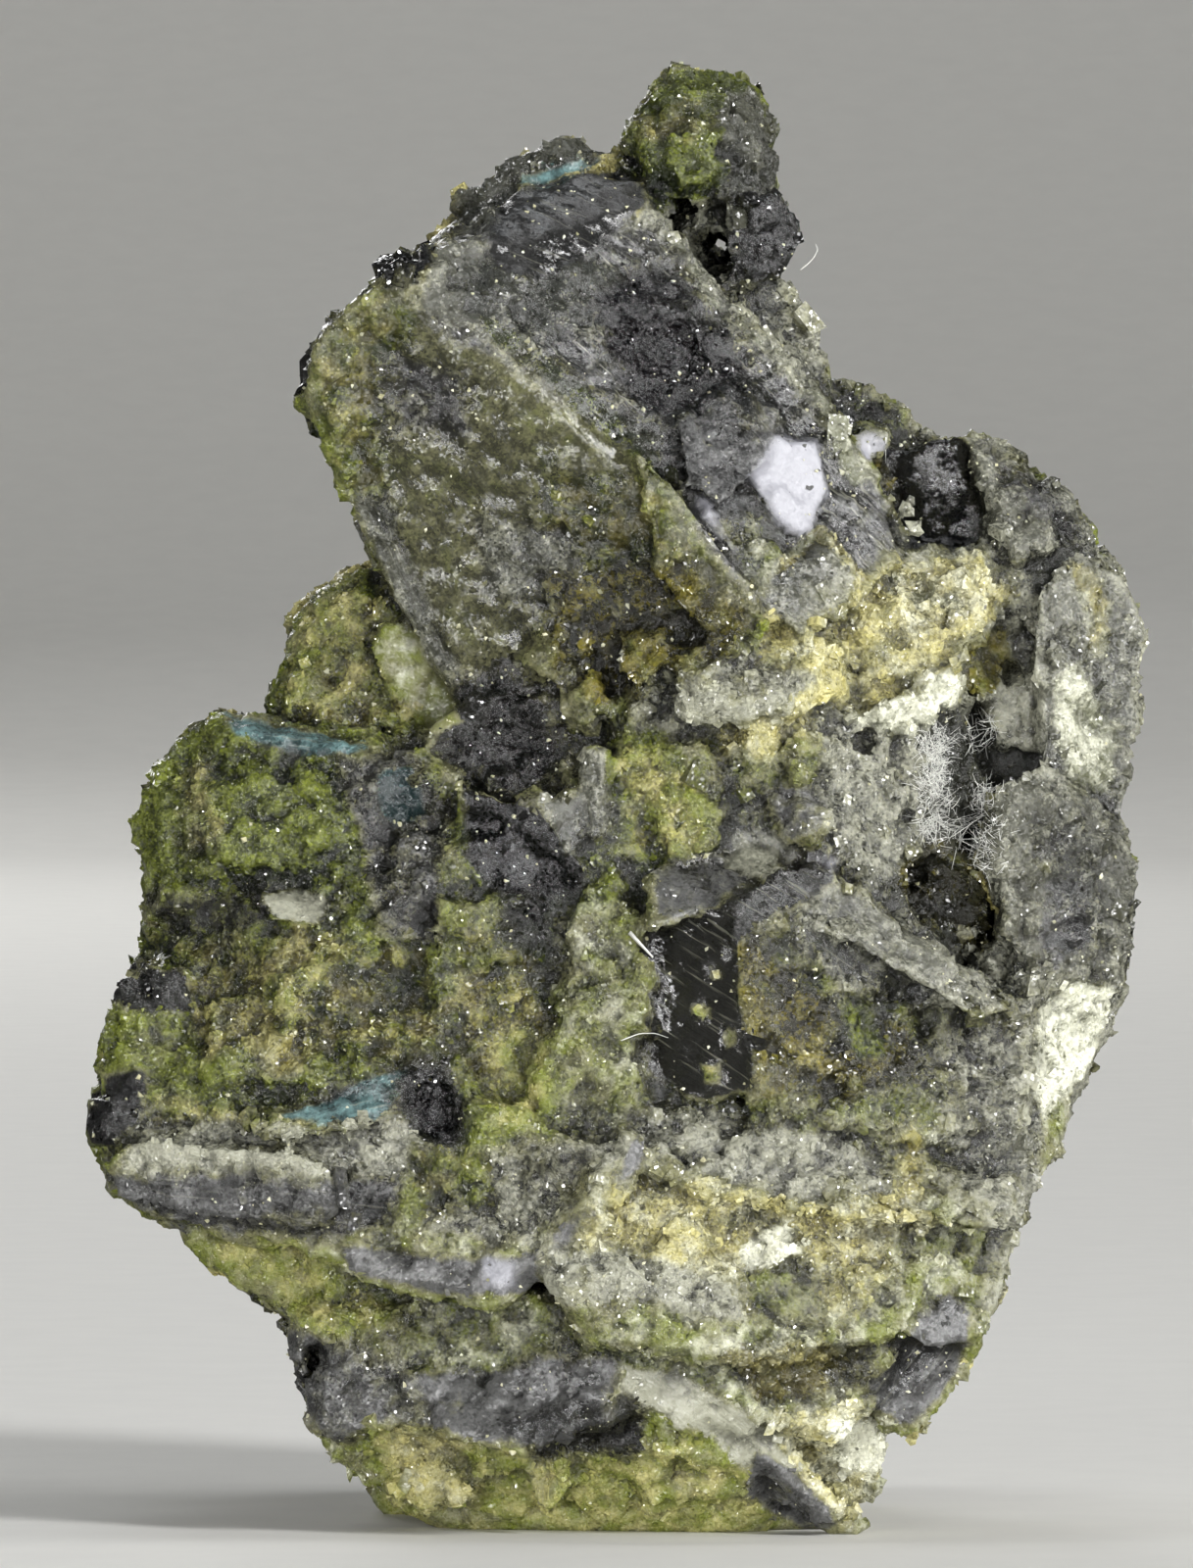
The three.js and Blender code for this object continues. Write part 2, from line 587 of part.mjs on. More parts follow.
// Shiny dark ridge that curves under the terraces: overlapping stubby prisms end to end
function curvedRidge() {
  const spine = [
    [-3.0, -3.65, 2.95], [-2.1, -3.85, 2.65], [-1.3, -4.1, 2.55], [-0.75, -4.25, 2.95], [-0.2, -4.3, 3.55],
    [0.15, -4.2, 4.05],
  ];
  return spine.slice(1).map((end, index) => {
    const start = new THREE.Vector3(...spine[index]);
    const finish = new THREE.Vector3(...end);
    const run = finish.clone().sub(start);
    return prism({
      at: start.add(finish).multiplyScalar(0.5).toArray(),
      along: run.toArray(),
      length: run.length() * 1.5,
      width: 0.55,
      thickness: 0.5,
      roll: 0.5 + index,
    });
  });
}

// The lower body down to the flat cut
function lowerBody() {
  return [
    block({
      outline: [
        [-0.9, 2.8], [-0.1, 3.7], [1.2, 4.0], [2.6, 3.5], [3.3, 2.85], [3.0, 2.0], [1.2, 1.7], [-0.4, 1.95],
      ],
      face: -4.35, lean: [0.15, 0.28], bevel: 0.3, inset: 0.12, end: 2.6,
    }),
    block({
      outline: [[2.4, 3.6], [4.12, 3.5], [3.98, 3.1], [3.85, 2.8], [3.65, 2.0], [3.1, 1.9], [2.4, 2.1]],
      face: -3.75, lean: [0.45, 0.25], end: 2.0,
    }),
    block({
      outline: [
        [-3.25, 1.45], [-3.43, 1.85], [-3.4, 2.25], [-2.4, 2.4], [-1.4, 2.5], [0, 2.4], [0.3, 1.65],
        [0, 1.1], [-1.9, 1.0], [-3.1, 1.0], [-3.28, 1.15],
      ],
      face: -3.8, lean: [-0.22, 0.2], bevel: 0.25, inset: 0.1, end: 2.2,
    }),
    block({
      outline: [[-2.0, 1.5], [-1.6, 1.85], [-0.5, 1.6], [-0.2, 1.2], [-1.0, 0.85], [-1.8, 1.0]],
      face: -4.1, lean: [-0.15, 0.5], end: 0,
    }),
    block({
      outline: [
        [-3.15, 1.1], [-3.1, 0.9], [-2.65, 0.45], [-2.3, 0.15], [-1.7, -0.1], [1.4, -0.1], [1.7, 0.65],
        [0.6, 1.4], [-1.9, 1.4],
      ],
      face: -3.3, lean: [-0.18, -0.95], bevel: 0.25, inset: 0.12, end: 2.4,
    }),
    block({
      outline: [
        [0, 2.3], [1.2, 2.15], [2.7, 2.3], [3.0, 2.0], [2.6, 1.5], [2.2, 0.95], [1.5, 1.0], [0.4, 1.5],
      ],
      face: -4.1, lean: [0.15, 0.05], bevel: 0.25, inset: 0.2, end: 2.2,
    }),
    block({
      outline: [
        [2.4, 1.55], [2.9, 2.15], [3.25, 2.45], [3.63, 2.3], [3.5, 1.8], [3.28, 1.35], [2.9, 1.03],
        [2.6, 1.1],
      ],
      face: -3.65, lean: [0.3, -0.15], end: 1.9,
    }),
    block({
      outline: [
        [1.3, 0.95], [1.6, 1.45], [2.3, 1.4], [2.65, 1.15], [2.65, 0.7], [2.55, 0.35], [2.2, -0.1],
        [1.3, -0.1],
      ],
      face: -3.2, lean: [0.25, -0.75], bevel: 0.25, inset: 0.2, end: 2.0,
    }),
    prism({
      at: [0.65, -3.95, 1.4], along: [1.2, 0.1, -0.42],
      length: 1.7, width: 0.55, thickness: 0.45, roll: 0.3,
    }),
    prism({
      at: [1.55, -3.65, 0.75], along: [1, 0.3, -1],
      length: 1.9, width: 0.5, thickness: 0.4, roll: 0.3,
    }),
    prism({
      at: [2.0, -3.3, 0.25], along: [0.9, 0.3, -0.5],
      length: 1.1, width: 0.45, thickness: 0.35, roll: 0.2,
    }),
    lump({ at: [-1.9, -3.2, 0.55], radius: 0.5 }),
    lump({ at: [-0.7, -3.35, 0.6], radius: 0.45 }),
    lump({ at: [0.4, -3.4, 0.6], radius: 0.45 }),
    lump({ at: [1.5, -4.1, 2.85], radius: 0.45 }),
    lump({ at: [0.5, -4.25, 3.0], radius: 0.42 }),
  ];
}

// The far side and the flanks, grown the same way: blocky crystals that lean against each other
function farSide() {
  return [
    chunk({ at: [-2.5, 1.5, 6.2], size: [3.9, 3.8, 3.5], turn: [0.25, -0.25, 0.35] }),
    chunk({ at: [2.3, 1.6, 7.0], size: [4.0, 3.6, 3.6], turn: [-0.25, 0.3, -0.3] }),
    chunk({ at: [-2.5, 1.6, 3.7], size: [4.2, 3.4, 2.7], turn: [0.15, 0.2, 0.5] }),
    chunk({ at: [1.8, 1.8, 4.0], size: [4.0, 4.0, 3.2], turn: [-0.2, -0.15, 0.25] }),
    chunk({ at: [-0.2, 1.0, 1.2], size: [4.2, 3.8, 2.6], turn: [0.1, 0.08, -0.2] }),
    chunk({ at: [-0.6, 0.7, 10.6], size: [2.6, 2.8, 4.6], turn: [0.1, -0.7, 0.2] }),
    chunk({ at: [1.3, 0.9, 9.9], size: [2.2, 2.8, 3.4], turn: [0.1, -0.55, -0.4] }),
    chunk({ at: [-0.3, 2.5, 8.3], size: [2.8, 2.0, 2.4], turn: [0.5, 0.3, 0.3] }),
    chunk({ at: [-1.5, 3.2, 5.4], size: [2.2, 1.9, 2.8], turn: [0.2, 0.5, -0.3] }),
    chunk({ at: [0.9, 3.3, 5.9], size: [2.0, 1.7, 2.5], turn: [-0.3, -0.5, 0.4] }),
    chunk({ at: [-0.3, 3.2, 2.9], size: [2.9, 1.8, 1.8], turn: [0.1, 0.3, 0.2] }),
    chunk({ at: [2.9, 2.9, 5.6], size: [1.7, 2.0, 2.9], turn: [0.2, 0.3, 0.6] }),
    chunk({ at: [-2.1, 1.2, 8.9], size: [1.6, 1.9, 1.7], turn: [0.3, 0.5, 0.2] }),
  ];
}

function flanks() {
  return [
    chunk({ at: [-3.9, -0.3, 6.7], size: [1.8, 2.6, 2.6], turn: [0.15, 0.1, 0.5] }),
    chunk({ at: [-4.1, -0.4, 4.2], size: [2.2, 3.0, 1.9], turn: [0.1, -0.05, -0.3] }),
    chunk({ at: [-4.2, 1.6, 5.1], size: [1.4, 2.0, 2.4], turn: [0.3, 0.2, 0.3] }),
    chunk({ at: [-2.7, -0.2, 2.1], size: [1.6, 2.8, 1.7], turn: [0.1, 0.2, 0.3] }),
    chunk({ at: [4.2, 0.1, 8.1], size: [1.8, 2.6, 3.2], turn: [0.1, -0.1, -0.5] }),
    chunk({ at: [4.1, 0.2, 5.9], size: [1.9, 2.8, 2.3], turn: [-0.1, 0.15, 0.4] }),
    chunk({ at: [3.3, 0.2, 3.7], size: [1.9, 2.6, 2.3], turn: [0.15, -0.3, -0.35] }),
    chunk({ at: [2.5, 0.1, 2.1], size: [1.5, 2.6, 1.8], turn: [0.1, -0.2, 0.3] }),
    chunk({ at: [3.7, 0.3, 9.9], size: [1.9, 2.4, 1.7], turn: [0.2, 0.4, 0.3] }),
    chunk({ at: [0.85, 0.1, 13.9], size: [1.1, 1.5, 1.3], turn: [0.3, 0.4, 0.5] }),
  ];
}

// The outline that the whole cluster shows to the near side. The far side stays within it.
const SILHOUETTE = [
  [-0.1, 13.95], [0.3, 14.6], [0.6, 14.77], [1.1, 14.75], [1.5, 14.4], [1.6, 13.5], [1.82, 13.1],
  [1.95, 12.1], [2.15, 11.7], [3.1, 11.05], [3.85, 11.0], [4.5, 10.45], [5.05, 9.65], [5.28, 9.0],
  [5.1, 7.4], [5.18, 6.5], [5.05, 5.4], [4.6, 4.5], [4.4, 3.7], [3.85, 2.9], [3.6, 2.0], [3.1, 1.05],
  [2.65, 0.9], [2.3, -0.5], [-2.2, -0.5], [-2.9, 0.7], [-3.3, 1.1], [-3.4, 2.2], [-4.5, 3.0],
  [-5.2, 3.4], [-5.45, 4.05], [-5.2, 5.3], [-4.9, 5.8], [-4.95, 7.2], [-4.4, 8.0], [-3.65, 8.15],
  [-3.4, 9.2], [-2.65, 9.75], [-2.9, 10.6], [-3.3, 11.4], [-3.1, 12.0], [-2.4, 12.95], [-1.75, 13.2],
  [-1.1, 13.95], [-0.4, 13.95],
];

function silhouetteColumn() {
  const outline = new THREE.Shape(SILHOUETTE.map(([x, z]) => new THREE.Vector2(x, z)));
  const column = new THREE.ExtrudeGeometry(outline, { depth: 2 * FAR, bevelEnabled: false });
  return solidOf(column.rotateX(Math.PI / 2).translate(0, FAR, 0));
}

// The mass that all the crystals grow out of, a little behind their faces
const HEART_DEPTHS = { near: -3.4, wide: -2.0, far: 1.8 };
const HEART_FAR_SHARE = 0.8;

function heart() {
  const nearRing = [
    [-3.7, 4.0], [-3.4, 5.6], [-1.6, 6.9], [0.4, 7.6], [1.7, 7.7], [2.3, 6.5], [3.1, 4.4], [2.4, 1.8],
    [-0.6, 0.9], [-2.5, 1.5],
  ];
  const wideRing = [
    [-4.9, 3.6], [-4.6, 7.0], [-2.2, 7.8], [1.6, 8.8], [3.4, 8.8], [3.6, 5.0], [3.3, 2.2], [1.9, 0.4],
    [-2.1, 0.4], [-3.0, 1.6],
  ];
  return hullOf([
    ...nearRing.map(([x, z]) => [x, HEART_DEPTHS.near, z]),
    ...wideRing.map(([x, z]) => [x, HEART_DEPTHS.wide, z]),
    ...wideRing.map(([x, z]) => [x * HEART_FAR_SHARE, HEART_DEPTHS.far, z]),
  ]);
}

// Openings: the cavity on the right, the black hollow on the striated face and deep gaps between crystals
function openings() {
  return [
    hollow({
      outline: [
        [2.5, 6.55], [2.9, 6.9], [3.2, 7.0], [3.5, 6.85], [3.62, 6.4], [3.7, 5.95], [3.5, 5.75],
        [3.1, 5.98],
      ],
      floor: -0.9, lean: [0.2, 0], shrink: 0.55,
    }),
    hollow({
      outline: [
        [-0.2, 12.35], [0.5, 12.5], [0.95, 12.0], [1.0, 11.6], [0.6, 11.45], [0.05, 11.5], [-0.1, 11.9],
      ],
      floor: -1.75, lean: [0.5, 0.5], shrink: 0.6,
    }),
    hollow({ outline: [[-2.1, 4.85], [-1.7, 4.75], [-1.6, 4.2], [-1.75, 3.8], [-2.0, 3.85]], floor: -2.9 }),
    hollow({ outline: [[-1.55, 8.35], [-1.0, 8.3], [-0.9, 7.8], [-1.3, 7.6], [-1.6, 7.9]], floor: -1.9 }),
    hollow({
      outline: [[0.45, 13.6], [0.75, 13.45], [0.85, 13.1], [0.55, 13.0], [0.35, 13.2]],
      floor: -0.6,
    }),
    hollow({
      outline: [[3.75, 8.9], [4.05, 9.0], [4.12, 8.3], [4.0, 7.9], [3.8, 8.1]],
      floor: -1.25, shrink: 0.5,
    }),
    hollow({ outline: [[-3.25, 2.1], [-3.05, 2.05], [-2.95, 1.5], [-3.1, 1.3], [-3.3, 1.5]], floor: -2.2 }),
  ];
}

// Rays that find the surface from outside, so that small forms sit on it
const rayCaster = new THREE.Raycaster();

function surfaceAt(target, origin, direction) {
  rayCaster.set(new THREE.Vector3(...origin), new THREE.Vector3(...direction).normalize());
  return rayCaster.intersectObject(target)[0];
}

// Patches of surface: where they are, which way they look, and what grows there. Nothing grows
// below LOWEST_GROWTH, and each piece is sunk by a share of its size.
const LOWEST_GROWTH = 0.6;
const SUNK_SHARE = 0.35;
const CRUST = 'crust';
const CRYSTALS = 'crystals';
const PATCHES = [
  { looks: 'front', across: [-3.0, -0.4], up: [9.0, 12.0], count: 1, size: [0.2, 0.3], kind: CRUST },
  { looks: 'front', across: [-0.6, 2.2], up: [8.2, 9.2], count: 2, size: [0.26, 0.36], kind: CRUST },
  { looks: 'front', across: [0.1, 1.4], up: [13.5, 14.6], count: 2, size: [0.24, 0.34], kind: CRUST },
  { looks: 'front', across: [2.4, 4.8], up: [8.8, 10.8], count: 3, size: [0.24, 0.36], kind: CRUST },
  { looks: 'front', across: [-4.6, -2.2], up: [5.0, 8.0], count: 4, size: [0.26, 0.4], kind: CRUST },
  { looks: 'front', across: [-5.0, -1.0], up: [2.6, 5.0], count: 3, size: [0.26, 0.36], kind: CRUST },
  { looks: 'front', across: [-2.8, 3.2], up: [0.5, 3.4], count: 5, size: [0.26, 0.4], kind: CRUST },
  { looks: 'front', across: [0.4, 2.8], up: [6.6, 8.4], count: 2, size: [0.4, 0.6], kind: CRYSTALS },
  { looks: 'front', across: [-2.4, 0.2], up: [6.4, 8.2], count: 2, size: [0.4, 0.6], kind: CRYSTALS },
  { looks: 'back', across: [-3.6, 3.6], up: [1.0, 8.4], count: 4, size: [0.4, 0.6], kind: CRUST },
  { looks: 'back', across: [-3.2, 3.2], up: [2.0, 12.0], count: 2, size: [0.6, 0.9], kind: CRYSTALS },
  { looks: 'left', across: [-1.5, 2.5], up: [1.2, 7.6], count: 2, size: [0.4, 0.5], kind: CRUST },
  { looks: 'right', across: [-1.5, 2.5], up: [1.2, 9.6], count: 2, size: [0.4, 0.5], kind: CRUST },
];
const SIGHT_LINES = {
  front: (across, up) => ({ origin: [across, -FAR, up], direction: [0, 1, 0] }),
  back: (across, up) => ({ origin: [across, FAR, up], direction: [0, -1, 0] }),
  left: (across, up) => ({ origin: [-FAR, across, up], direction: [1, 0, 0] }),
  right: (across, up) => ({ origin: [FAR, across, up], direction: [-1, 0, 0] }),
};

function grownOn(target) {
  const pieces = [];
  for (const { looks, across, up, count, size, kind } of PATCHES) {
    for (let i = 0; i < count; i += 1) {
      const { origin, direction } = SIGHT_LINES[looks](between(...across), between(...up));
      const hit = surfaceAt(target, origin, direction);
      if (!hit || hit.point.z < LOWEST_GROWTH) continue;
      const width = between(...size);
      const sunk = hit.point.clone().addScaledVector(hit.face.normal, -SUNK_SHARE * width);
      if (kind === CRUST) {
        pieces.push(lump({ at: sunk.toArray(), radius: width }));
      } else {
        const along = hit.face.normal.clone().multiplyScalar(0.5);
        along.add(new THREE.Vector3(between(-1, 1), between(-1, 1), between(-1, 1)));
        pieces.push(prism({
          at: sunk.toArray(),
          along: along.toArray(),
          length: width * between(1.6, 2.4),
          width: width * 0.9,
          thickness: width * 0.7,
          roll: between(0, Math.PI),
        }));
      }
    }
  }
  return pieces;
}

// Small solution pits on the near side, as [across, up, radius], and their form
const PIT_SINK = 0.3;
const PIT_DEPTH_SHARE = 1.8;
const PIT_CORNERS = 6;
const PITS = [
  [2.32, 8.8, 0.16], [2.05, 9.1, 0.12], [2.75, 8.75, 0.12], [2.45, 8.0, 0.17], [2.9, 7.23, 0.14],
  [3.05, 5.17, 0.16], [2.9, 5.5, 0.12], [3.45, 5.1, 0.13], [1.65, 3.05, 0.17], [0.7, 2.55, 0.13],
  [-0.05, 2.15, 0.14], [2.15, 2.1, 0.17], [2.8, 2.9, 0.17], [2.6, 2.45, 0.14], [-1.5, 1.65, 0.14],
  [-2.7, 1.25, 0.12], [0.75, 13.73, 0.15], [0.6, 11.65, 0.12], [3.85, 10.2, 0.14],
];

function pitsIn(target) {
  const cuts = [];
  for (const [across, up, radius] of PITS) {
    const hit = surfaceAt(target, [across, -FAR, up], [0, 1, 0]);
    if (!hit) continue;
    const at = [across, hit.point.y + radius * PIT_SINK, up];
    cuts.push(lump({ at, radius, squash: PIT_DEPTH_SHARE, corners: PIT_CORNERS }));
  }
  return cuts;
}

function clusterSolid() {
  const behind = joined([heart(), ...farSide(), ...flanks()]).intersect(silhouetteColumn());
  const grown = joined([
    behind, ...upperCrystal(), ...striations(), ...knob(), ...rightShoulder(), ...rightSide(),
    ...middleLedge(), ...centralCrystal(), ...leftTerraces(), ...leftLump(), ...centreLeft(),
    ...curvedRidge(), ...lowerBody(),
  ]);
  const opened = openings().reduce((whole, cut) => whole.subtract(cut), grown);
  const crusted = joined([opened, ...grownOn(new THREE.Mesh(geometryOf(opened)))]);
  const pits = pitsIn(new THREE.Mesh(geometryOf(crusted)));
  const pitted = pits.reduce((whole, cut) => whole.subtract(cut), crusted);
  const aboveCut = new THREE.BoxGeometry(2 * FAR, 2 * FAR, 2 * FAR).translate(0, 0, FAR);
  return pitted.intersect(solidOf(aboveCut));
}

// The middle of the outer box goes over the origin, with the flat cut at height zero.
const fullSize = geometryOf(clusterSolid()).scale(GRID, GRID, GRID);
fullSize.computeBoundingBox();
const boxMiddle = fullSize.boundingBox.getCenter(new THREE.Vector3());
fullSize.translate(-boxMiddle.x, -boxMiddle.y, 0);

const cluster = new THREE.Mesh(
  geometryOf(outerShell(solidOf(fullSize))),
  new THREE.MeshStandardMaterial({ color: 0x5f6148, roughness: 0.45, metalness: 0 }),
);
cluster.name = 'epidote_cluster';

const group = new THREE.Group();
group.add(cluster);

export default group;
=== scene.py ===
"""Looks of an epidote crystal cluster: glossy, mottled crystal faces under a sparkling granular crust."""

import itertools
import math

import bmesh
import bpy
import numpy as np
from bpy.props import FloatProperty, FloatVectorProperty, IntProperty, PointerProperty
from mathutils import Matrix, Vector


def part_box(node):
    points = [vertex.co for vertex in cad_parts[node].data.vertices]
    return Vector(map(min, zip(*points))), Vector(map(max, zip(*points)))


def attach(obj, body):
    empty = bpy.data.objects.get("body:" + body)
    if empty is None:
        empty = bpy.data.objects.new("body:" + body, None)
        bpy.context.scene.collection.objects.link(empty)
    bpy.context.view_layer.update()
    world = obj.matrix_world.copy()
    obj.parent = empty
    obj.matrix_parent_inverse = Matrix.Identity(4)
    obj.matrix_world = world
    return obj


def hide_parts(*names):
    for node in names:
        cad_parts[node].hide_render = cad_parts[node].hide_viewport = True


bl_info = {
    "name": "Epidote Cluster Looks",
    "version": (1, 0, 0),
    "blender": (4, 5, 0),
    "location": "3D View > Sidebar > Epidote",
    "description": "Grows the body, the crust, the small crystals and the fibres of an epidote cluster",
    "category": "Object",
}

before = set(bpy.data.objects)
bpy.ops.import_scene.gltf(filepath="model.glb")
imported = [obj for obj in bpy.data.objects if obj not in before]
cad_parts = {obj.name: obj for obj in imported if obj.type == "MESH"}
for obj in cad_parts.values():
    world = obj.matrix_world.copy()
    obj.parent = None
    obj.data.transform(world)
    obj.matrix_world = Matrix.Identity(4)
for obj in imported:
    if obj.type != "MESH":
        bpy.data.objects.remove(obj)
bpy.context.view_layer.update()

NODE = "epidote_cluster"
BODY_NAME = "root"

# Everything is shaped in millimetres, and turned to metres when its mesh is made.
MM = 0.001
LOW, HIGH = (np.array(corner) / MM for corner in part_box(NODE))
HEIGHT = HIGH[2] - LOW[2]

# Places on the near side are [across, up] in squares of the cluster's own grid, which has this many rows.
# The places with no distance across are this many millimetres right of the origin.
GRID_ROWS = 14.77
GRID = HEIGHT / GRID_ROWS
GRID_MIDDLE = 0.037

# Nothing stands further out of the solid's box than this, and nothing grows closer than this to the cut.
PROUD = 0.12
FOOT_CLEAR = 0.25

# The seed of all random draws, how much each noise adds to it, and how far apart noises in a row are
SEED = 7
NOISES = {
    "patches": 0, "wander across": 70, "wander up": 80, "ribs": 90, "fine ribs": 91, "spread tone": 95,
    "streak turns": 96, "lumps": 100, "steps": 110, "chips": 120, "grit": 130, "shade": 140,
    "back faces": 150, "back blocks": 160, "pits across": 200, "pits up": 201, "mottles": 300,
    "specks": 400,
}
NOISE_STEP = 10


def seeded(name, index=0):
    """The seed of a noise, or of one of a row of like noises."""
    return SEED + NOISES[name] + NOISE_STEP * index


def linear(red, green, blue):
    """A colour given as 0 to 255 per channel, as the renderer wants it."""
    def channel(value):
        share = value / 255
        return share / 12.92 if share <= 0.04045 else ((share + 0.055) / 1.055) ** 2.4
    return channel(red), channel(green), channel(blue)


def colour(name, description, shade):
    return FloatVectorProperty(
        name=name, description=description, default=linear(*shade), size=3, min=0, max=1, subtype="COLOR"
    )


def length(name, description, millimetres):
    return FloatProperty(
        name=name, description=description, default=millimetres * MM, min=0, precision=5,
        subtype="DISTANCE", unit="LENGTH",
    )


# The finishes that the surface is mottled with, and the one that is under all of them
# The sheen is a painted reflection: a bluish tone for bluish surroundings mirrored in ledges, not a
# mineral.
FINISHES = ("moss", "mustard", "cream", "stone", "plum", "jet", "sheen", "rust")
UNDER = "ground"


class ClusterColours(bpy.types.PropertyGroup):
    """Dark and light flecks of each finish."""

    ground_dark: colour("Ground, dark", "Dark flecks of the dull olive-grey ground", (30, 30, 19))
    ground_light: colour("Ground, light", "Light flecks of the dull olive-grey ground", (130, 129, 94))
    moss_dark: colour("Moss, dark", "Dark flecks of the pistachio green", (22, 29, 8))
    moss_light: colour("Moss, light", "Light flecks of the pistachio green", (122, 131, 50))
    mustard_dark: colour("Mustard, dark", "Dark flecks of the yellow crust", (88, 82, 40))
    mustard_light: colour("Mustard, light", "Light flecks of the yellow crust", (204, 196, 132))
    cream_dark: colour("Cream, dark", "Dark flecks of the pale crust", (104, 106, 84))
    cream_light: colour("Cream, light", "Light flecks of the pale crust", (244, 244, 222))
    stone_dark: colour("Stone, dark", "Dark flecks of the grey faces", (40, 41, 34))
    stone_light: colour("Stone, light", "Light flecks of the grey faces", (166, 166, 148))
    plum_dark: colour("Plum, dark", "Dark flecks of the smooth purplish faces", (28, 28, 27))
    plum_light: colour("Plum, light", "Light flecks of the smooth purplish faces", (104, 104, 103))
    jet_dark: colour("Jet, dark", "Dark flecks of the black faces", (5, 5, 5))
    jet_light: colour("Jet, light", "Light flecks of the black faces", (34, 34, 31))
    # Sheen: painted bluish reflection on the ledges
    sheen_dark: colour("Sheen, dark", "Dark flecks of the bluish ledges", (23, 39, 40))
    sheen_light: colour("Sheen, light", "Light flecks of the bluish ledges", (122, 156, 156))
    rust_dark: colour("Rust, dark", "Dark flecks of the brown hollows", (27, 25, 8))
    rust_light: colour("Rust, light", "Light flecks of the brown hollows", (126, 117, 46))
    # Painted highlight: the pale tone that mirror faces are whitened towards
    painted_glint: colour("Mirror face", "The small faces that mirror the light", (168, 168, 176))
    speck: colour("Speck", "Tiny bright specks", (232, 226, 186))
    fibre: colour("Fibre", "Pale fibres over the cavity, and lint", (248, 248, 242))
    floor: colour("Floor", "Pale floor", (228, 227, 223))


class ClusterSizes(bpy.types.PropertyGroup):
    """How fine the body's mesh is, how deep its relief goes and how large the grains are."""

    voxel: length("Mesh size", "Edge length of the body's mesh", 0.094)
    lumps: length("Lumps", "Height of the broad lumps of crusted parts", 0.06)
    steps: length("Steps", "Height of the broken steps of crusted parts", 0.13)
    chips: length("Chips", "Height of the small chips of crusted parts", 0.08)
    ribs: length("Ribs", "Height of the fine ribs of striated faces", 0.025)
    facet: length("Facet", "Radius of the usual flush facets of crusted parts", 0.045)
    grain: length("Grain", "Radius of the usual grains", 0.04)
    block: length("Block", "Radius of the small blocky crystals", 0.085)
    speck: length("Speck", "Radius of the usual tiny specks", 0.022)
    fibre: length("Fibre", "Radius of a pale fibre", 0.0045)
    triangles: IntProperty(
        name="Body triangles", description="Most triangles in the body's mesh", default=196000, min=1000
    )


# Large odd numbers that scatter the cells of a noise and its seed
SCATTER = (374761393, 668265263, 1440662683)
SCATTER_SEED = 1013904223
SCATTER_MORE = 1274126177


def hashed(cells, seed):
    """Repeatable numbers from 0 to 1 for whole-number cells."""
    x, y, z = cells.astype(np.int64).T
    mixed = x * SCATTER[0] + y * SCATTER[1] + z * SCATTER[2] + seed * SCATTER_SEED
    mixed = (mixed ^ (mixed >> 13)) * SCATTER_MORE
    mixed = (mixed ^ (mixed >> 15)) * SCATTER[1]
    return ((mixed ^ (mixed >> 16)) & 0xFFFFFF) / 0xFFFFFF


def soft_noise(points, size, seed):
    """Smooth noise from -1 to 1, with bumps about size across."""
    scaled = points / size
    cell = np.floor(scaled)
    part = scaled - cell
    part = part * part * (3 - 2 * part)
    total = np.zeros(len(points))
    for corner in itertools.product((0, 1), repeat=3):
        share = np.prod(np.where(np.array(corner) == 1, part, 1 - part), axis=1)
        total += share * hashed(cell + corner, seed)
    return 2 * total - 1


# What layered noise is divided by, so that it stays mostly from -1 to 1
LAYERED = 1.5


def layered_noise(points, size, seed, layers=3):
    """Smooth noise with finer and weaker layers over it."""
    total = sum(soft_noise(points, size / 2**i, seed + i) / 2**i for i in range(layers))
    return total / LAYERED


def facet_noise(points, size, seed):
    """Flat tilted facets, one for each cell about size across, with steps between them."""
    scaled = points / size
    cell = np.floor(scaled)
    nearest = np.full(len(points), np.inf)
    height = np.zeros(len(points))
    for step in itertools.product((-1, 0, 1), repeat=3):
        around = cell + step
        spot = np.stack([hashed(around, seed + i) for i in range(3)], axis=1)
        tilt = np.stack([hashed(around, seed + 3 + i) for i in range(3)], axis=1) * 2 - 1
        offset = scaled - around - spot
        distance = (offset**2).sum(axis=1)
        level = hashed(around, seed + 6) - 0.5 + (offset * tilt).sum(axis=1)
        closer = distance < nearest
        nearest[closer] = distance[closer]
        height[closer] = level[closer]
    return height


def eased(value, start, end):
    """0 at start, 1 at end and smooth between them."""
    share = np.clip((value - start) / (end - start), 0, 1)
    return share * share * (3 - 2 * share)


# Blends of finishes that a named zone of the surface is made of
BLENDS = {
    "olive": {"moss": 0.5, "stone": 0.15},
    "olive glass": {"moss": 0.3, "mustard": 0.08},
    "olive moss": {"moss": 0.7, "mustard": 0.15},
    "moss": {"moss": 1.0},
    "moss gold": {"moss": 0.65, "mustard": 0.45},
    "mustard": {"mustard": 0.6, "cream": 0.35, "moss": 0.2},
    "gold cream": {"mustard": 0.7, "cream": 0.5},
    "cream": {"cream": 1.0},
    # Mirror faces, whitened in the material as a painted highlight
    "painted_glint": {"cream": 0.1, "sheen": 0.1, "plum": 0.9},
    "sage": {"moss": 0.5, "cream": 0.35, "stone": 0.2},
    "stone": {"stone": 1.0},
    "pale stone": {"stone": 0.9, "cream": 0.4},
    "graphite": {"stone": 0.5, "plum": 0.7, "jet": 0.2},
    "dark stone": {"stone": 0.7, "cream": 0.2, "jet": 0.35},
    "plum": {"plum": 1.0},
    "jet": {"jet": 1.0},
    "dark moss": {"moss": 0.5, "jet": 0.6},
    # Painted bluish reflection
    "sheen": {"sheen": 1.0},
    "umber": {"jet": 0.4, "rust": 0.6, "moss": 0.4, "mustard": 0.1},
    "amber": {"moss": 0.6, "mustard": 0.4, "rust": 0.4},
    "orange": {"rust": 0.6, "mustard": 0.6},
}

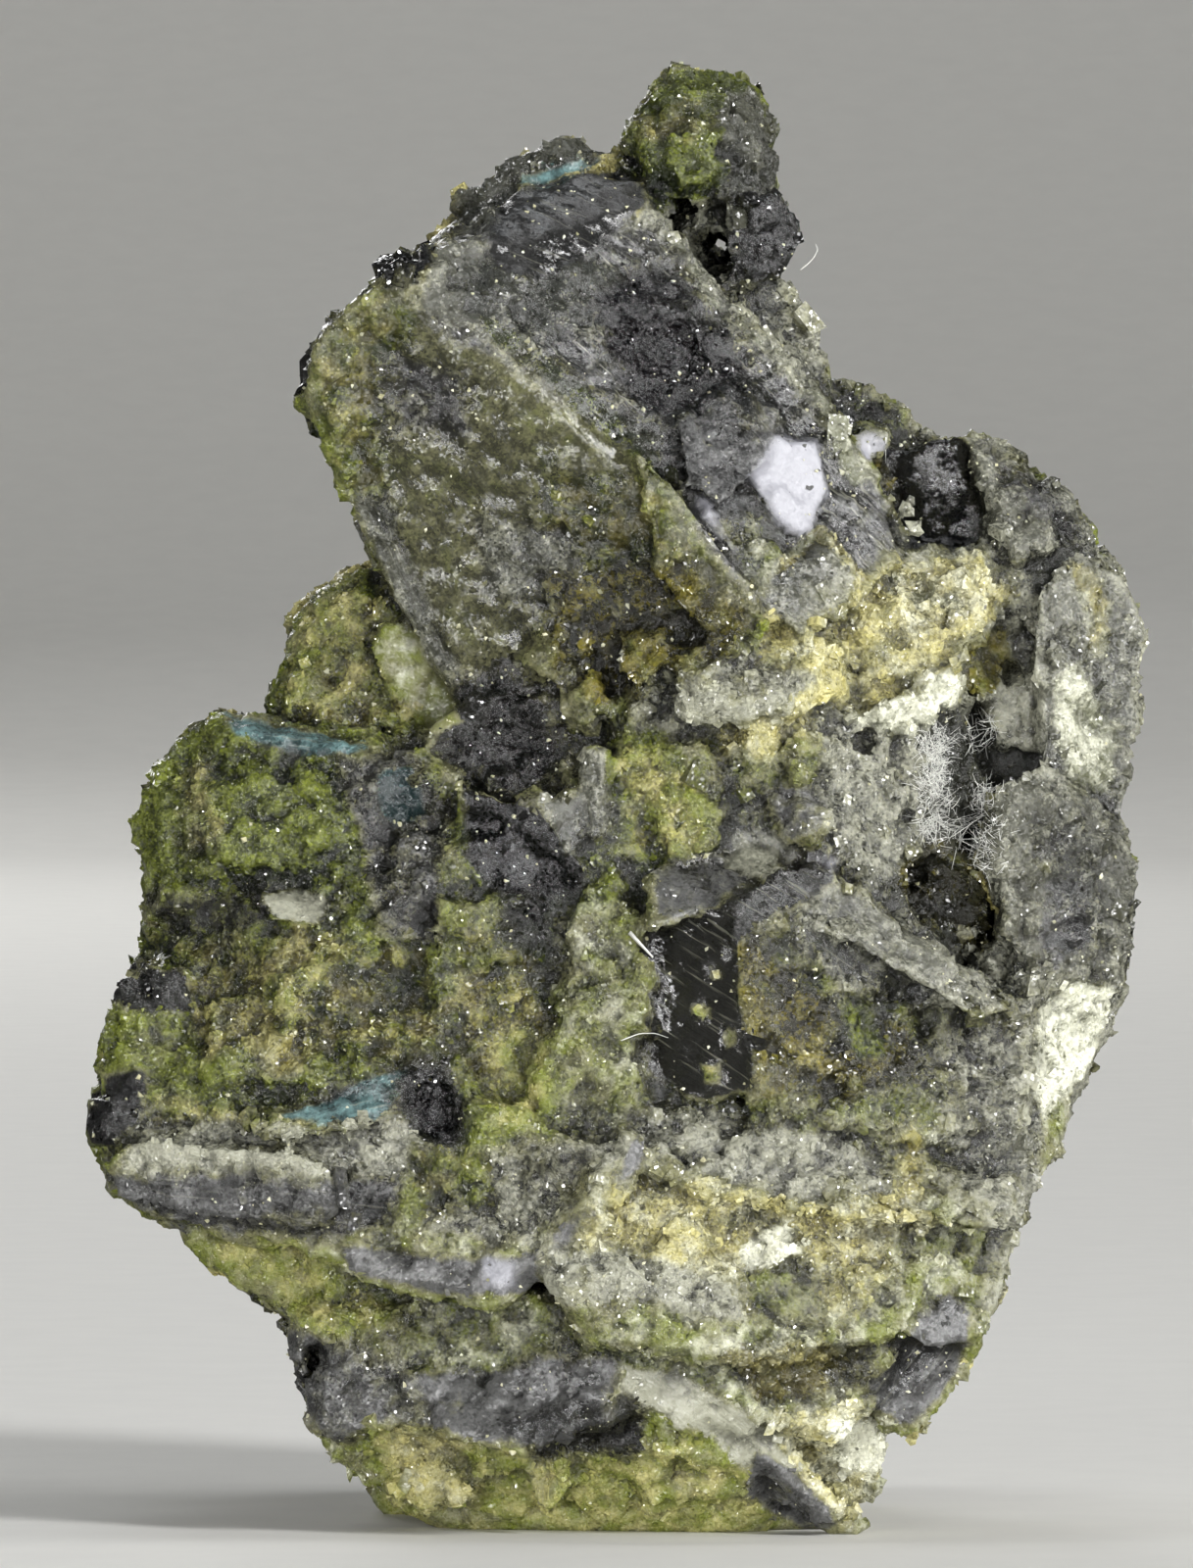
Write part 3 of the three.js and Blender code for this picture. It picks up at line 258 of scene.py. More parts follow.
# Zones of the near side: name, blend, how flat the face is, how light its tone is, how soft its edge
# is, and its outline
ZONES = (
    ("ground of the left terraces", "olive moss", 0.1, -0.1, 0.4, (
        (-5.6, 3.4), (-5.6, 8.6), (-2.2, 10.0), (-0.6, 8.0), (-0.2, 4.0), (-2.5, 2.6))),
    ("ground of the middle", "olive", 0.1, 0.0, 0.4, (
        (-1.6, 8.8), (1.0, 9.2), (2.6, 8.0), (2.4, 3.6), (-0.4, 3.4), (-1.8, 5.5))),
    ("ground of the right", "stone", 0.1, 0.0, 0.4, (
        (2.4, 10.2), (5.4, 10.6), (5.5, 4.0), (3.6, 1.8), (2.4, 4.0), (2.2, 8.0))),
    ("ground of the lower body", "sage", 0.1, 0.7, 0.4, (
        (-3.8, 3.2), (-2.0, 3.8), (3.8, 3.8), (3.4, -0.4), (-3.4, -0.4))),
    ("olive face", "olive glass", 0.88, -0.25, 0.12, (
        (-3.25, 11.45), (-3.1, 12.0), (-2.55, 12.65), (-2.0, 12.45), (-1.35, 11.9), (0, 11.05), (1.3, 9.25),
        (0, 8.45), (-1.5, 7.95), (-2.1, 9.05), (-2.95, 10.65))),
    ("rim of the olive face", "moss gold", 0.3, -0.6, 0.3, (
        (-3.25, 11.5), (-2.6, 12.6), (-2.1, 12.2), (-2.5, 11.2), (-2.5, 9.9), (-2.9, 10.6))),
    ("grey patch on the olive face", "graphite", 0.5, -0.5, 0.2, (
        (-2.4, 11.8), (-1.6, 11.7), (-1.6, 11.0), (-2.3, 11.1))),
    ("gold patch on the olive face", "moss gold", 0.4, -0.75, 0.3, (
        (-0.7, 10.7), (0.4, 10.5), (0.7, 9.7), (-0.1, 9.3), (-0.9, 9.8))),
    ("dull patch on the olive face", "stone", 0.6, -0.4, 0.25, (
        (-1.5, 10.2), (-0.6, 10.0), (-0.5, 9.4), (-1.4, 9.4))),
    ("brown foot of the olive face", "umber", 0.1, -0.3, 0.2, (
        (-0.8, 9.6), (0.6, 9.9), (1.3, 9.3), (1.2, 8.85), (0.1, 8.5), (-0.8, 8.5))),
    ("left edge of the olive face", "stone", 0.4, -1.0, 0.15, (
        (-2.75, 10.3), (-2.45, 10.4), (-1.5, 8.3), (-1.6, 7.9), (-1.9, 8.3))),
    ("striated face", "graphite", 0.7, -0.3, 0.12, (
        (-2.0, 12.15), (-1.9, 12.95), (-1.4, 13.4), (0.5, 13.05), (1.5, 12.15), (2.1, 11.35), (2.6, 10.45),
        (2.85, 9.85), (2.3, 9.35), (1.35, 9.25), (0, 11.05))),
    ("dull upper band", "stone", 0.3, -1.3, 0.2, (
        (-2.0, 12.3), (-1.85, 12.9), (-1.0, 12.9), (0.0, 12.7), (-0.2, 12.2), (-1.2, 12.0))),
    ("bevel along the ridge", "olive", 0.6, -0.8, 0.08, (
        (-1.5, 12.3), (-0.9, 12.0), (0.1, 11.2), (0.9, 10.2), (0.7, 10.15), (-0.1, 11.0), (-1.3, 11.9))),
    # Painted shade: black in a shallow hollow, standing in for the shade deep inside it
    ("black hollow", "jet", 0.1, -1.2, 0.3, (
        (-0.3, 12.4), (0.1, 12.65), (0.5, 12.6), (0.95, 12.1), (1.3, 11.5), (1.2, 11.0),
        (0.7, 10.9), (0.1, 11.3))),
    ("dark step under the hollow", "plum", 0.4, -0.3, 0.15, (
        (0.3, 11.2), (1.0, 11.35), (1.5, 10.7), (1.1, 10.2), (0.6, 10.5))),
    ("purple top facet", "plum", 0.9, -0.8, 0.06, (
        (-1.4, 13.3), (-1.1, 13.5), (-0.4, 13.68), (0.1, 13.65), (0.25, 13.4), (-0.4, 12.85), (-0.9, 12.55),
        (-1.3, 12.7))),
    # Painted bluish reflection
    ("bluish strip", "sheen", 1.0, 1.2, 0.03, (
        (-1.15, 13.55), (-1.05, 13.68), (-0.65, 13.79), (-0.2, 13.87), (-0.3, 13.78), (-0.78, 13.62))),
    ("hump", "stone", 0.0, -1.9, 0.15, (
        (-1.75, 13.1), (-1.65, 13.6), (-0.7, 14.1), (-0.1, 13.9), (-1.1, 13.6), (-1.3, 13.2))),
    ("dark knob on the rim", "jet", 0.1, -2.2, 0.08, (
        (-2.8, 12.6), (-2.75, 13.1), (-2.0, 13.15), (-1.95, 12.75), (-2.3, 12.55))),
    ("pale edge line", "cream", 0.2, -1.3, 0.11, (
        (0.15, 13.5), (0.3, 13.3), (1.1, 12.5), (2.1, 11.4), (2.5, 10.6), (2.35, 10.55),
        (1.9, 11.35), (0.9, 12.4))),
    ("pale speckle behind the edge", "pale stone", 0.1, 0.1, 0.2, (
        (0.5, 13.2), (1.2, 12.9), (1.9, 12.4), (2.1, 11.6), (1.9, 11.4), (1.0, 12.3))),
    # Painted highlight: these three faces, the lilac facet and the bright crest below are whitened where
    # they mirror a light
    ("white mirror facet", "painted_glint", 0.85, 0.4, 0.035, (
        (1.28, 10.6), (1.55, 11.05), (1.95, 10.98), (2.07, 10.45), (1.82, 9.98), (1.5, 10.2))),
    ("small white facet", "painted_glint", 1.0, 2.0, 0.03, (
        (2.32, 11.08), (2.72, 11.08), (2.67, 10.85), (2.45, 10.76))),
    ("glint on the lower ridge", "painted_glint", 0.8, 1.0, 0.03, (
        (0.72, 10.4), (0.82, 10.38), (1.15, 9.9), (1.08, 9.88))),
    ("green wedge by the mirror facet", "sage", 0.4, 0.0, 0.1, (
        (0.95, 10.2), (1.4, 10.3), (1.6, 9.9), (1.7, 9.5), (1.4, 9.35))),
    ("grey facet with yellow edges", "stone", 0.7, -0.5, 0.06, (
        (1.55, 9.75), (2.1, 10.0), (2.36, 9.6), (2.2, 9.15), (1.75, 9.0), (1.45, 9.35))),
    ("yellow edge", "gold cream", 0.1, -0.3, 0.04, (
        (1.5, 9.6), (1.98, 9.98), (2.36, 9.6), (2.2, 9.1), (2.28, 9.08), (2.5, 9.55),
        (2.0, 10.15), (1.5, 9.75))),
    ("green knob", "moss", 0.0, -0.8, 0.15, (
        (-0.1, 13.9), (0.2, 14.5), (0.6, 14.8), (1.0, 14.8), (1.3, 14.5), (1.2, 13.8),
        (0.9, 13.4), (0.4, 13.3))),
    ("yellow band of the knob", "moss gold", 0.0, -0.8, 0.15, (
        (0.0, 14.2), (0.5, 14.45), (1.1, 14.35), (1.0, 14.05), (0.4, 13.95), (0.1, 13.9))),
    ("grey side of the knob", "pale stone", 0.0, -1.9, 0.12, (
        (1.0, 14.5), (1.5, 14.5), (1.6, 13.7), (1.2, 13.45), (1.0, 13.8))),
    ("dark block under the knob", "jet", 0.2, -2.6, 0.1, (
        (1.0, 13.4), (1.5, 13.5), (1.85, 13.2), (1.8, 12.8), (1.4, 12.5), (1.0, 12.8))),
    ("slab behind", "dark moss", 0.0, -0.3, 0.15, (
        (2.0, 11.75), (2.6, 11.5), (3.15, 11.1), (2.9, 10.85), (2.1, 11.2))),
    ("black face on the right", "jet", 0.8, -0.8, 0.08, (
        (2.65, 10.85), (3.4, 11.05), (3.6, 10.9), (3.7, 9.95), (2.9, 9.9))),
    ("grey shoulder", "stone", 0.1, -0.7, 0.15, (
        (3.5, 11.0), (4.0, 10.9), (4.6, 10.3), (5.0, 9.6), (4.5, 9.4), (3.8, 9.6), (3.6, 10.0))),
    ("brown top of the shoulder", "graphite", 0.1, -0.8, 0.15, (
        (3.6, 11.0), (4.1, 10.8), (4.8, 9.9), (4.4, 10.0), (3.8, 10.5))),
    ("yellow ledge", "mustard", 0.0, 1.1, 0.3, (
        (1.6, 9.0), (2.3, 9.45), (2.7, 9.8), (3.6, 9.85), (3.9, 9.4), (3.5, 8.9), (2.9, 8.5), (2.2, 8.2),
        (1.3, 7.7), (0.7, 7.9), (1.0, 8.5))),
    ("bright end of the ledge", "gold cream", 0.0, 0.0, 0.15, (
        (2.7, 9.7), (3.5, 9.8), (3.85, 9.45), (3.3, 8.95), (2.8, 9.1))),
    ("dark gap left of the ledge", "umber", 0.0, -0.1, 0.2, (
        (-0.4, 9.0), (1.0, 9.0), (1.2, 8.7), (0.2, 8.3), (-0.4, 8.3))),
    ("lilac grains of the ledge", "pale stone", 0.0, 0.25, 0.15, (
        (0.2, 8.5), (1.2, 8.8), (1.9, 8.6), (1.4, 8.2), (0.5, 8.0), (0.1, 8.1))),
    ("pale slab", "cream", 0.3, 0.25, 0.07, (
        (2.3, 8.2), (2.95, 8.45), (3.35, 8.75), (3.35, 8.45), (3.1, 8.0), (2.5, 8.0))),
    ("pale band of the cavity", "pale stone", 0.0, -2.0, 0.12, (
        (2.95, 8.1), (3.3, 8.2), (3.6, 7.9), (3.7, 6.9), (3.3, 6.8), (3.0, 7.3))),
    ("speckled pale crust", "pale stone", 0.0, 0.3, 0.12, (
        (2.0, 8.2), (2.5, 8.1), (3.0, 7.8), (2.9, 7.0), (2.3, 6.6), (2.0, 7.2))),
    ("right bar", "pale stone", 0.4, -0.7, 0.12, (
        (4.15, 9.5), (4.7, 9.8), (5.2, 9.3), (5.2, 7.9), (5.0, 7.0), (4.3, 7.1), (4.15, 8.0))),
    ("groove by the bar", "stone", 0.4, 0.4, 0.08, (
        (3.75, 9.1), (4.1, 9.1), (4.2, 8.0), (4.0, 7.8), (3.7, 8.2))),
    ("pale streak of the bar", "cream", 0.2, -0.4, 0.12, (
        (4.3, 8.6), (4.6, 8.7), (5.0, 8.0), (4.9, 7.4), (4.5, 7.5))),
    ("upper pale streak", "gold cream", 0.2, -0.6, 0.1, ((4.5, 9.8), (4.8, 9.7), (4.9, 8.9), (4.7, 8.8))),
    ("shadow over the cavity", "umber", 0.2, 1.4, 0.1, (
        (3.5, 8.9), (3.9, 9.1), (4.0, 8.7), (3.6, 8.4), (3.4, 8.5))),
    ("dark chunk", "dark stone", 0.0, -0.8, 0.15, (
        (3.7, 7.5), (4.2, 7.7), (5.1, 7.2), (5.2, 6.0), (5.0, 5.4), (4.1, 5.3), (3.7, 6.2))),
    ("pale top of the chunk", "pale stone", 0.0, -0.8, 0.15, (
        (3.6, 7.6), (4.1, 7.7), (4.2, 7.0), (3.9, 6.5), (3.6, 6.7))),
    ("smooth side of the chunk", "graphite", 0.35, -0.7, 0.1, (
        (4.2, 6.6), (4.7, 6.6), (4.7, 5.9), (4.3, 5.6), (4.1, 6.0))),
    ("bright face on the right", "cream", 0.3, 0.5, 0.08, (
        (4.15, 5.3), (4.6, 5.55), (4.95, 5.4), (4.8, 4.8), (4.5, 4.2), (4.25, 3.6), (4.15, 4.5))),
    ("green foot of the bright face", "sage", 0.2, 0.8, 0.1, (
        (4.2, 4.2), (4.6, 4.4), (4.4, 3.8), (4.15, 3.5))),
    # Partly painted shade: the cavity is brown, and darkened for the shade inside its shallow hollow
    ("cavity", "umber", 0.0, -1.2, 0.15, (
        (2.55, 6.5), (2.9, 6.85), (3.2, 7.0), (3.5, 6.85), (3.7, 6.0), (3.5, 5.8), (3.1, 5.95))),
    ("grey facet over the mirror face", "graphite", 0.7, 0.1, 0.06, (
        (0.25, 6.0), (0.3, 6.6), (0.6, 6.85), (1.2, 6.87), (1.5, 6.75), (1.0, 6.4))),
    ("dark small crystal", "graphite", 0.4, 0.3, 0.06, ((1.4, 7.5), (1.9, 7.5), (2.0, 7.1), (1.6, 6.95))),
    # Painted highlight on the lilac facet
    ("lilac facet", "painted_glint", 0.9, 1.0, 0.03, ((1.8, 6.7), (2.1, 6.8), (2.07, 6.45), (1.95, 6.5))),
    ("dull facet", "stone", 0.7, 0.7, 0.08, ((1.1, 7.1), (1.6, 7.0), (1.8, 6.7), (1.5, 6.6), (1.0, 6.7))),
    ("pitted middle crystal", "sage", 0.1, 0.0, 0.15, (
        (1.1, 6.3), (1.5, 6.7), (2.4, 6.5), (4.0, 5.35), (4.1, 4.4), (3.9, 3.5), (1.3, 4.2), (1.2, 5.0))),
    ("grey flank of the middle crystal", "stone", 0.35, -0.5, 0.1, (
        (1.8, 6.6), (2.55, 6.45), (3.4, 5.75), (3.9, 5.3), (3.0, 5.3), (2.2, 5.6), (1.7, 6.0))),
    ("brown hollow of the middle crystal", "umber", 0.0, -0.6, 0.2, (
        (1.2, 5.8), (1.8, 5.6), (2.9, 5.2), (3.1, 4.6), (2.2, 4.3), (1.3, 4.5))),
    ("dark speckle by the mirror face", "umber", 0.1, -0.6, 0.25, (
        (0.95, 6.25), (1.45, 6.1), (1.75, 5.6), (1.8, 5.0), (1.5, 4.5), (1.25, 4.5),
        (1.15, 5.0), (1.05, 5.6))),
    ("green fleck", "moss", 0.0, 0.1, 0.12, ((2.2, 5.4), (2.5, 5.4), (2.6, 4.9), (2.3, 4.8))),
    ("orange fleck", "orange", 0.0, -0.2, 0.14, ((1.2, 5.35), (1.4, 5.3), (1.45, 4.95), (1.25, 4.95))),
    ("second orange fleck", "orange", 0.0, 0.4, 0.14, ((1.7, 5.0), (2.0, 5.0), (2.05, 4.7), (1.75, 4.7))),
    ("black mirror face", "jet", 0.95, 1.2, 0.07, (
        (0.25, 6.0), (0.6, 6.2), (1.05, 6.4), (1.1, 5.85), (1.2, 5.0), (1.3, 4.5),
        (0.8, 4.35), (0.2, 4.6))),
    ("low fleck of the mirror face", "moss gold", 0.0, 0.6, 0.08, (
        (0.76, 4.78), (0.94, 4.8), (0.95, 4.58), (0.8, 4.55))),
    ("right fleck of the mirror face", "moss gold", 0.0, 1.8, 0.08, (
        (0.97, 5.15), (1.1, 5.12), (1.1, 4.96), (0.98, 5.0))),
    ("left fleck of the mirror face", "moss gold", 0.0, 2.2, 0.08, (
        (0.68, 5.34), (0.81, 5.34), (0.8, 5.2), (0.69, 5.2))),
    ("high fleck of the mirror face", "mustard", 0.0, 1.6, 0.08, (
        (0.82, 5.74), (0.94, 5.72), (0.93, 5.58), (0.83, 5.59))),
    ("dark band over the mirror face", "jet", 0.4, 1.3, 0.1, (
        (0.95, 6.35), (1.5, 6.7), (2.05, 6.9), (2.1, 6.55), (1.4, 6.2), (1.05, 5.9))),
    ("grey lower right", "dark stone", 0.05, 0.0, 0.2, (
        (3.2, 5.0), (4.0, 5.2), (4.15, 4.4), (3.9, 3.2), (3.3, 3.4))),
    ("yellow knot", "orange", 0.0, 1.0, 0.15, ((2.7, 4.1), (3.0, 4.1), (3.05, 3.5), (2.75, 3.5))),
    # Painted shadow: black where shadow falls deep between the crystals
    ("dark gap over the ridge", "jet", 0.1, 0.6, 0.3, (
        (-1.9, 8.5), (-1.2, 8.7), (-0.7, 8.3), (-0.6, 7.7), (-1.0, 7.45), (-1.7, 7.6), (-2.0, 8.0))),
    ("upper terrace", "moss", 0.05, -0.1, 0.15, (
        (-4.85, 7.5), (-4.3, 8.15), (-3.0, 8.0), (-2.4, 7.5), (-2.7, 6.7), (-3.3, 6.4),
        (-4.6, 6.5), (-4.9, 7.0))),
    ("gold of the upper terrace", "moss gold", 0.0, -0.3, 0.15, (
        (-4.6, 7.7), (-4.2, 8.0), (-4.0, 7.0), (-4.5, 6.7))),
    ("dark foot of the upper terrace", "dark moss", 0.0, 0.2, 0.12, (
        (-4.85, 6.5), (-3.4, 6.55), (-3.0, 6.2), (-4.4, 5.9), (-4.9, 6.1))),
    # Painted bluish reflection
    ("bluish top of the upper terrace", "sheen", 0.6, -0.5, 0.07, (
        (-4.1, 8.2), (-3.6, 8.15), (-2.9, 8.0), (-2.5, 7.9), (-3.2, 7.8), (-3.9, 8.0))),
    ("grey ledge facet", "stone", 0.8, 0.9, 0.05, (
        (-3.65, 6.42), (-3.3, 6.5), (-3.0, 6.4), (-3.1, 6.15), (-3.55, 6.2))),
    ("ridge of grey crystals", "graphite", 0.2, -0.4, 0.12, (
        (-2.9, 7.8), (-2.2, 7.9), (-1.8, 7.3), (-1.9, 6.0), (-2.4, 5.9), (-2.6, 6.6))),
    # Painted bluish reflection
    ("bluish crystal on the ridge", "sheen", 0.5, -1.4, 0.08, (
        (-2.5, 7.6), (-2.1, 7.7), (-2.0, 7.2), (-2.4, 7.1))),
    ("middle terrace", "moss gold", 0.0, -0.3, 0.15, (
        (-4.4, 5.9), (-3.0, 6.1), (-2.0, 5.9), (-1.7, 5.0), (-2.3, 4.7), (-4.2, 4.8), (-4.7, 5.2))),
    ("pale seam of the middle terrace", "moss gold", 0.1, -0.5, 0.12, (
        (-3.4, 5.5), (-2.8, 5.8), (-2.4, 5.2), (-3.0, 5.0))),
    ("dark block on the left", "jet", 0.2, -0.2, 0.08, (
        (-5.2, 5.5), (-4.9, 5.7), (-4.4, 5.65), (-4.35, 5.2), (-5.1, 5.2))),
    ("green left edge", "olive moss", 0.0, 0.5, 0.12, ((-5.2, 5.2), (-4.4, 5.2), (-4.2, 4.6), (-5.2, 4.5))),
    ("orange fleck of the terrace", "orange", 0.0, 1.2, 0.12, (
        (-3.7, 4.95), (-3.4, 5.0), (-3.3, 4.7), (-3.6, 4.65))),
    # Painted bluish reflection
    ("bluish ledge", "sheen", 0.7, 0.2, 0.05, (
        (-3.7, 4.2), (-3.0, 4.4), (-2.4, 4.65), (-2.1, 4.75), (-2.1, 4.5), (-2.5, 4.2), (-3.3, 4.1))),
    # Painted shade: black over a shallow recess, standing in for the shade inside it
    ("dark wedge by the bluish ledge", "jet", 0.2, -2.4, 0.25, (
        (-2.3, 4.7), (-1.8, 4.8), (-1.65, 4.3), (-1.75, 3.85), (-2.05, 3.85), (-2.35, 4.1))),
    ("dark tip on the left", "jet", 0.2, -1.0, 0.08, (
        (-5.45, 4.1), (-5.2, 4.6), (-4.8, 4.7), (-4.9, 4.1), (-5.3, 3.9))),
    ("yellow rim of the grey prism", "moss gold", 0.0, 0.4, 0.1, (
        (-4.9, 4.4), (-3.8, 4.3), (-3.0, 4.15), (-3.3, 3.95), (-4.8, 4.1))),
    ("front of the grey prism", "pale stone", 0.25, 0.7, 0.2, (
        (-5.0, 4.1), (-3.4, 4.1), (-2.1, 4.2), (-1.9, 3.7), (-3.4, 3.5), (-5.1, 3.5))),
    ("lower band of the grey prism", "plum", 0.35, -0.3, 0.2, (
        (-5.3, 3.6), (-3.4, 3.6), (-2.2, 3.6), (-2.4, 3.2), (-3.4, 2.95), (-4.6, 3.1), (-5.2, 3.4))),
    ("amber face", "amber", 0.1, -0.2, 0.15, (
        (-1.7, 6.2), (-0.9, 6.2), (-0.6, 5.4), (-0.9, 4.4), (-1.6, 4.4), (-1.75, 5.2))),
    ("moss beside the amber face", "moss gold", 0.0, 1.3, 0.15, (
        (-1.2, 5.2), (-0.7, 5.0), (-0.7, 4.2), (-1.3, 4.1), (-1.4, 4.6))),
    ("black pyramid", "jet", 0.5, -2.6, 0.08, (
        (-1.6, 7.5), (-0.9, 7.3), (-0.4, 6.7), (-0.5, 6.4), (-1.2, 6.4), (-1.6, 6.8))),
    ("dark foot of the pyramid", "dark moss", 0.0, -1.5, 0.15, (
        (-1.2, 6.5), (-0.4, 6.5), (-0.4, 5.9), (-0.9, 5.8), (-1.3, 6.0))),
    ("grey facet of the pyramid", "stone", 0.6, -0.8, 0.06, (
        (-0.9, 7.5), (-0.4, 7.4), (-0.35, 6.9), (-0.6, 6.8))),
    ("upright crystal", "pale stone", 0.5, -0.8, 0.06, (
        (-0.5, 7.9), (-0.2, 7.9), (-0.15, 7.1), (-0.4, 6.9))),
    ("green gap by the upright crystal", "moss gold", 0.1, 0.5, 0.12, (
        (-0.1, 8.0), (0.4, 8.0), (0.9, 7.4), (0.7, 6.8), (0.0, 6.8))),
    ("pale sage face", "sage", 0.05, 0.2, 0.15, (
        (-0.7, 6.3), (-0.2, 6.6), (0.25, 6.2), (0.25, 4.6), (-0.1, 3.9), (-0.7, 4.3), (-0.8, 5.4))),
    ("moss of the sage face", "sage", 0.0, 0.9, 0.15, ((-0.6, 5.1), (-0.1, 5.0), (-0.1, 4.4), (-0.6, 4.4))),
    ("dark ground under the sage face", "dark stone", 0.1, 0.3, 0.15, (
        (-1.9, 3.8), (-0.5, 4.0), (0.3, 4.3), (1.2, 4.2), (0.8, 3.8), (-0.2, 3.4),
        (-1.4, 2.9), (-2.0, 3.2))),
    ("gold over the curved ridge", "moss gold", 0.0, -0.2, 0.12, (
        (-2.2, 3.9), (-1.4, 3.9), (-1.2, 3.3), (-2.0, 3.2))),
    ("curved ridge", "plum", 0.75, 0.2, 0.07, (
        (-2.9, 2.95), (-1.9, 2.8), (-1.2, 2.8), (-0.8, 3.0), (-0.2, 3.6), (0.15, 4.1),
        (0.25, 3.9), (-0.4, 3.0),
        (-1.0, 2.45), (-1.9, 2.45), (-2.8, 2.7))),
    # Painted highlight on the crest
    ("bright crest of the curved ridge", "painted_glint", 0.7, 1.0, 0.06, (
        (-1.4, 2.85), (-1.1, 2.8), (-1.1, 2.55), (-1.4, 2.55))),
    ("moss under the terraces", "moss gold", 0.0, 3.6, 0.15, (
        (-4.4, 3.0), (-3.4, 2.95), (-2.9, 2.7), (-3.0, 2.2), (-3.5, 2.3))),
    ("lower yellow patch", "mustard", 0.0, 0.6, 0.35, (
        (-0.4, 3.6), (1.0, 3.7), (2.6, 3.5), (2.8, 2.7), (2.2, 2.2), (1.0, 2.3), (0.3, 2.6), (-0.5, 2.9))),
    ("pale spot", "cream", 0.1, 1.3, 0.1, ((1.2, 3.0), (1.7, 3.2), (1.75, 2.8), (1.3, 2.65))),
    ("grey hill right of the yellow", "stone", 0.1, 0.7, 0.12, (
        (0.7, 4.1), (2.2, 4.0), (2.7, 3.5), (2.0, 3.4), (0.8, 3.7))),
    ("grey shelf", "pale stone", 0.0, 0.8, 0.15, (
        (-0.9, 3.0), (0.2, 2.8), (1.2, 2.6), (1.1, 2.3), (-0.8, 2.4))),
    ("grey hump", "olive", 0.3, 0.2, 0.12, ((1.2, 2.7), (1.9, 2.8), (2.0, 2.3), (1.3, 2.2))),
    ("yellow corner", "gold cream", 0.0, -0.3, 0.15, ((2.5, 3.5), (3.0, 3.5), (3.1, 3.1), (2.6, 3.0))),
    ("dull lower left", "sage", 0.2, 0.2, 0.15, (
        (-3.1, 2.4), (0.2, 2.4), (0.4, 1.9), (-1.8, 1.3), (-3.2, 1.6))),
    ("moss flecks lower left", "moss gold", 0.0, 0.7, 0.15, (
        (-3.3, 2.4), (-2.4, 2.5), (-2.2, 2.1), (-3.2, 1.9))),
    ("dark lower left edge", "graphite", 0.4, -0.3, 0.12, (
        (-3.4, 2.1), (-2.7, 1.9), (-2.0, 1.6), (-2.0, 1.15), (-2.5, 1.1), (-2.9, 0.9), (-3.4, 1.3))),
    ("dark smooth base face", "plum", 0.7, 0.3, 0.1, (
        (-2.0, 1.6), (-1.0, 1.75), (-0.1, 1.8), (-0.3, 1.2), (-1.6, 0.95), (-2.0, 1.1))),
    ("base", "moss gold", 0.0, 1.8, 0.15, (
        (-2.6, 1.1), (-1.0, 0.95), (0.5, 1.2), (1.6, 0.5), (1.6, -0.1), (-2.4, -0.1))),
    ("gold patch on the base", "mustard", 0.0, 1.1, 0.15, (
        (-2.4, 1.0), (-1.8, 1.05), (-1.4, 0.4), (-1.6, 0.15), (-2.3, 0.4))),
    ("dull patch on the base", "graphite", 0.3, -2.3, 0.15, (
        (-1.2, 1.2), (0.1, 1.4), (0.2, 0.9), (-0.9, 0.8))),
    ("striated band", "stone", 0.6, 1.5, 0.05, (
        (-0.05, 1.75), (0.5, 1.65), (1.2, 1.25), (1.75, 0.7), (2.3, 0.15), (1.9, 0.05),
        (1.4, 0.5), (0.9, 1.0),
        (0.0, 1.45))),
    ("dark end of the band", "plum", 0.5, 0.1, 0.06, (
        (1.3, 0.9), (1.8, 0.6), (2.3, 0.1), (1.8, 0.0), (1.2, 0.4))),
    ("speckle over the band", "mustard", 0.0, -0.9, 0.15, ((0.8, 2.0), (2.4, 2.0), (2.5, 1.5), (1.3, 1.4))),
    ("pale lobe", "gold cream", 0.0, 0.6, 0.12, (
        (1.4, 1.2), (2.3, 1.4), (2.65, 1.1), (2.5, 0.3), (2.2, 0.1), (1.8, 0.6))),
    ("white sparkle", "cream", 0.1, 1.5, 0.08, ((2.1, 1.1), (2.6, 1.1), (2.6, 0.65), (2.2, 0.6))),
    ("right dark facet", "plum", 0.7, -0.1, 0.07, (
        (2.45, 1.55), (2.95, 2.15), (3.25, 2.45), (3.5, 2.3), (3.3, 1.6), (2.9, 1.1), (2.5, 1.3))),
    ("left lump", "moss gold", 0.0, 0.3, 0.15, (
        (-3.5, 8.2), (-3.4, 9.2), (-2.7, 9.7), (-2.4, 9.3), (-2.0, 8.2), (-2.3, 7.95))),
    ("pale wedge", "sage", 0.6, 2.2, 0.08, (
        (-2.45, 9.2), (-2.1, 9.0), (-1.65, 8.1), (-2.0, 8.05), (-2.5, 8.7))),
)

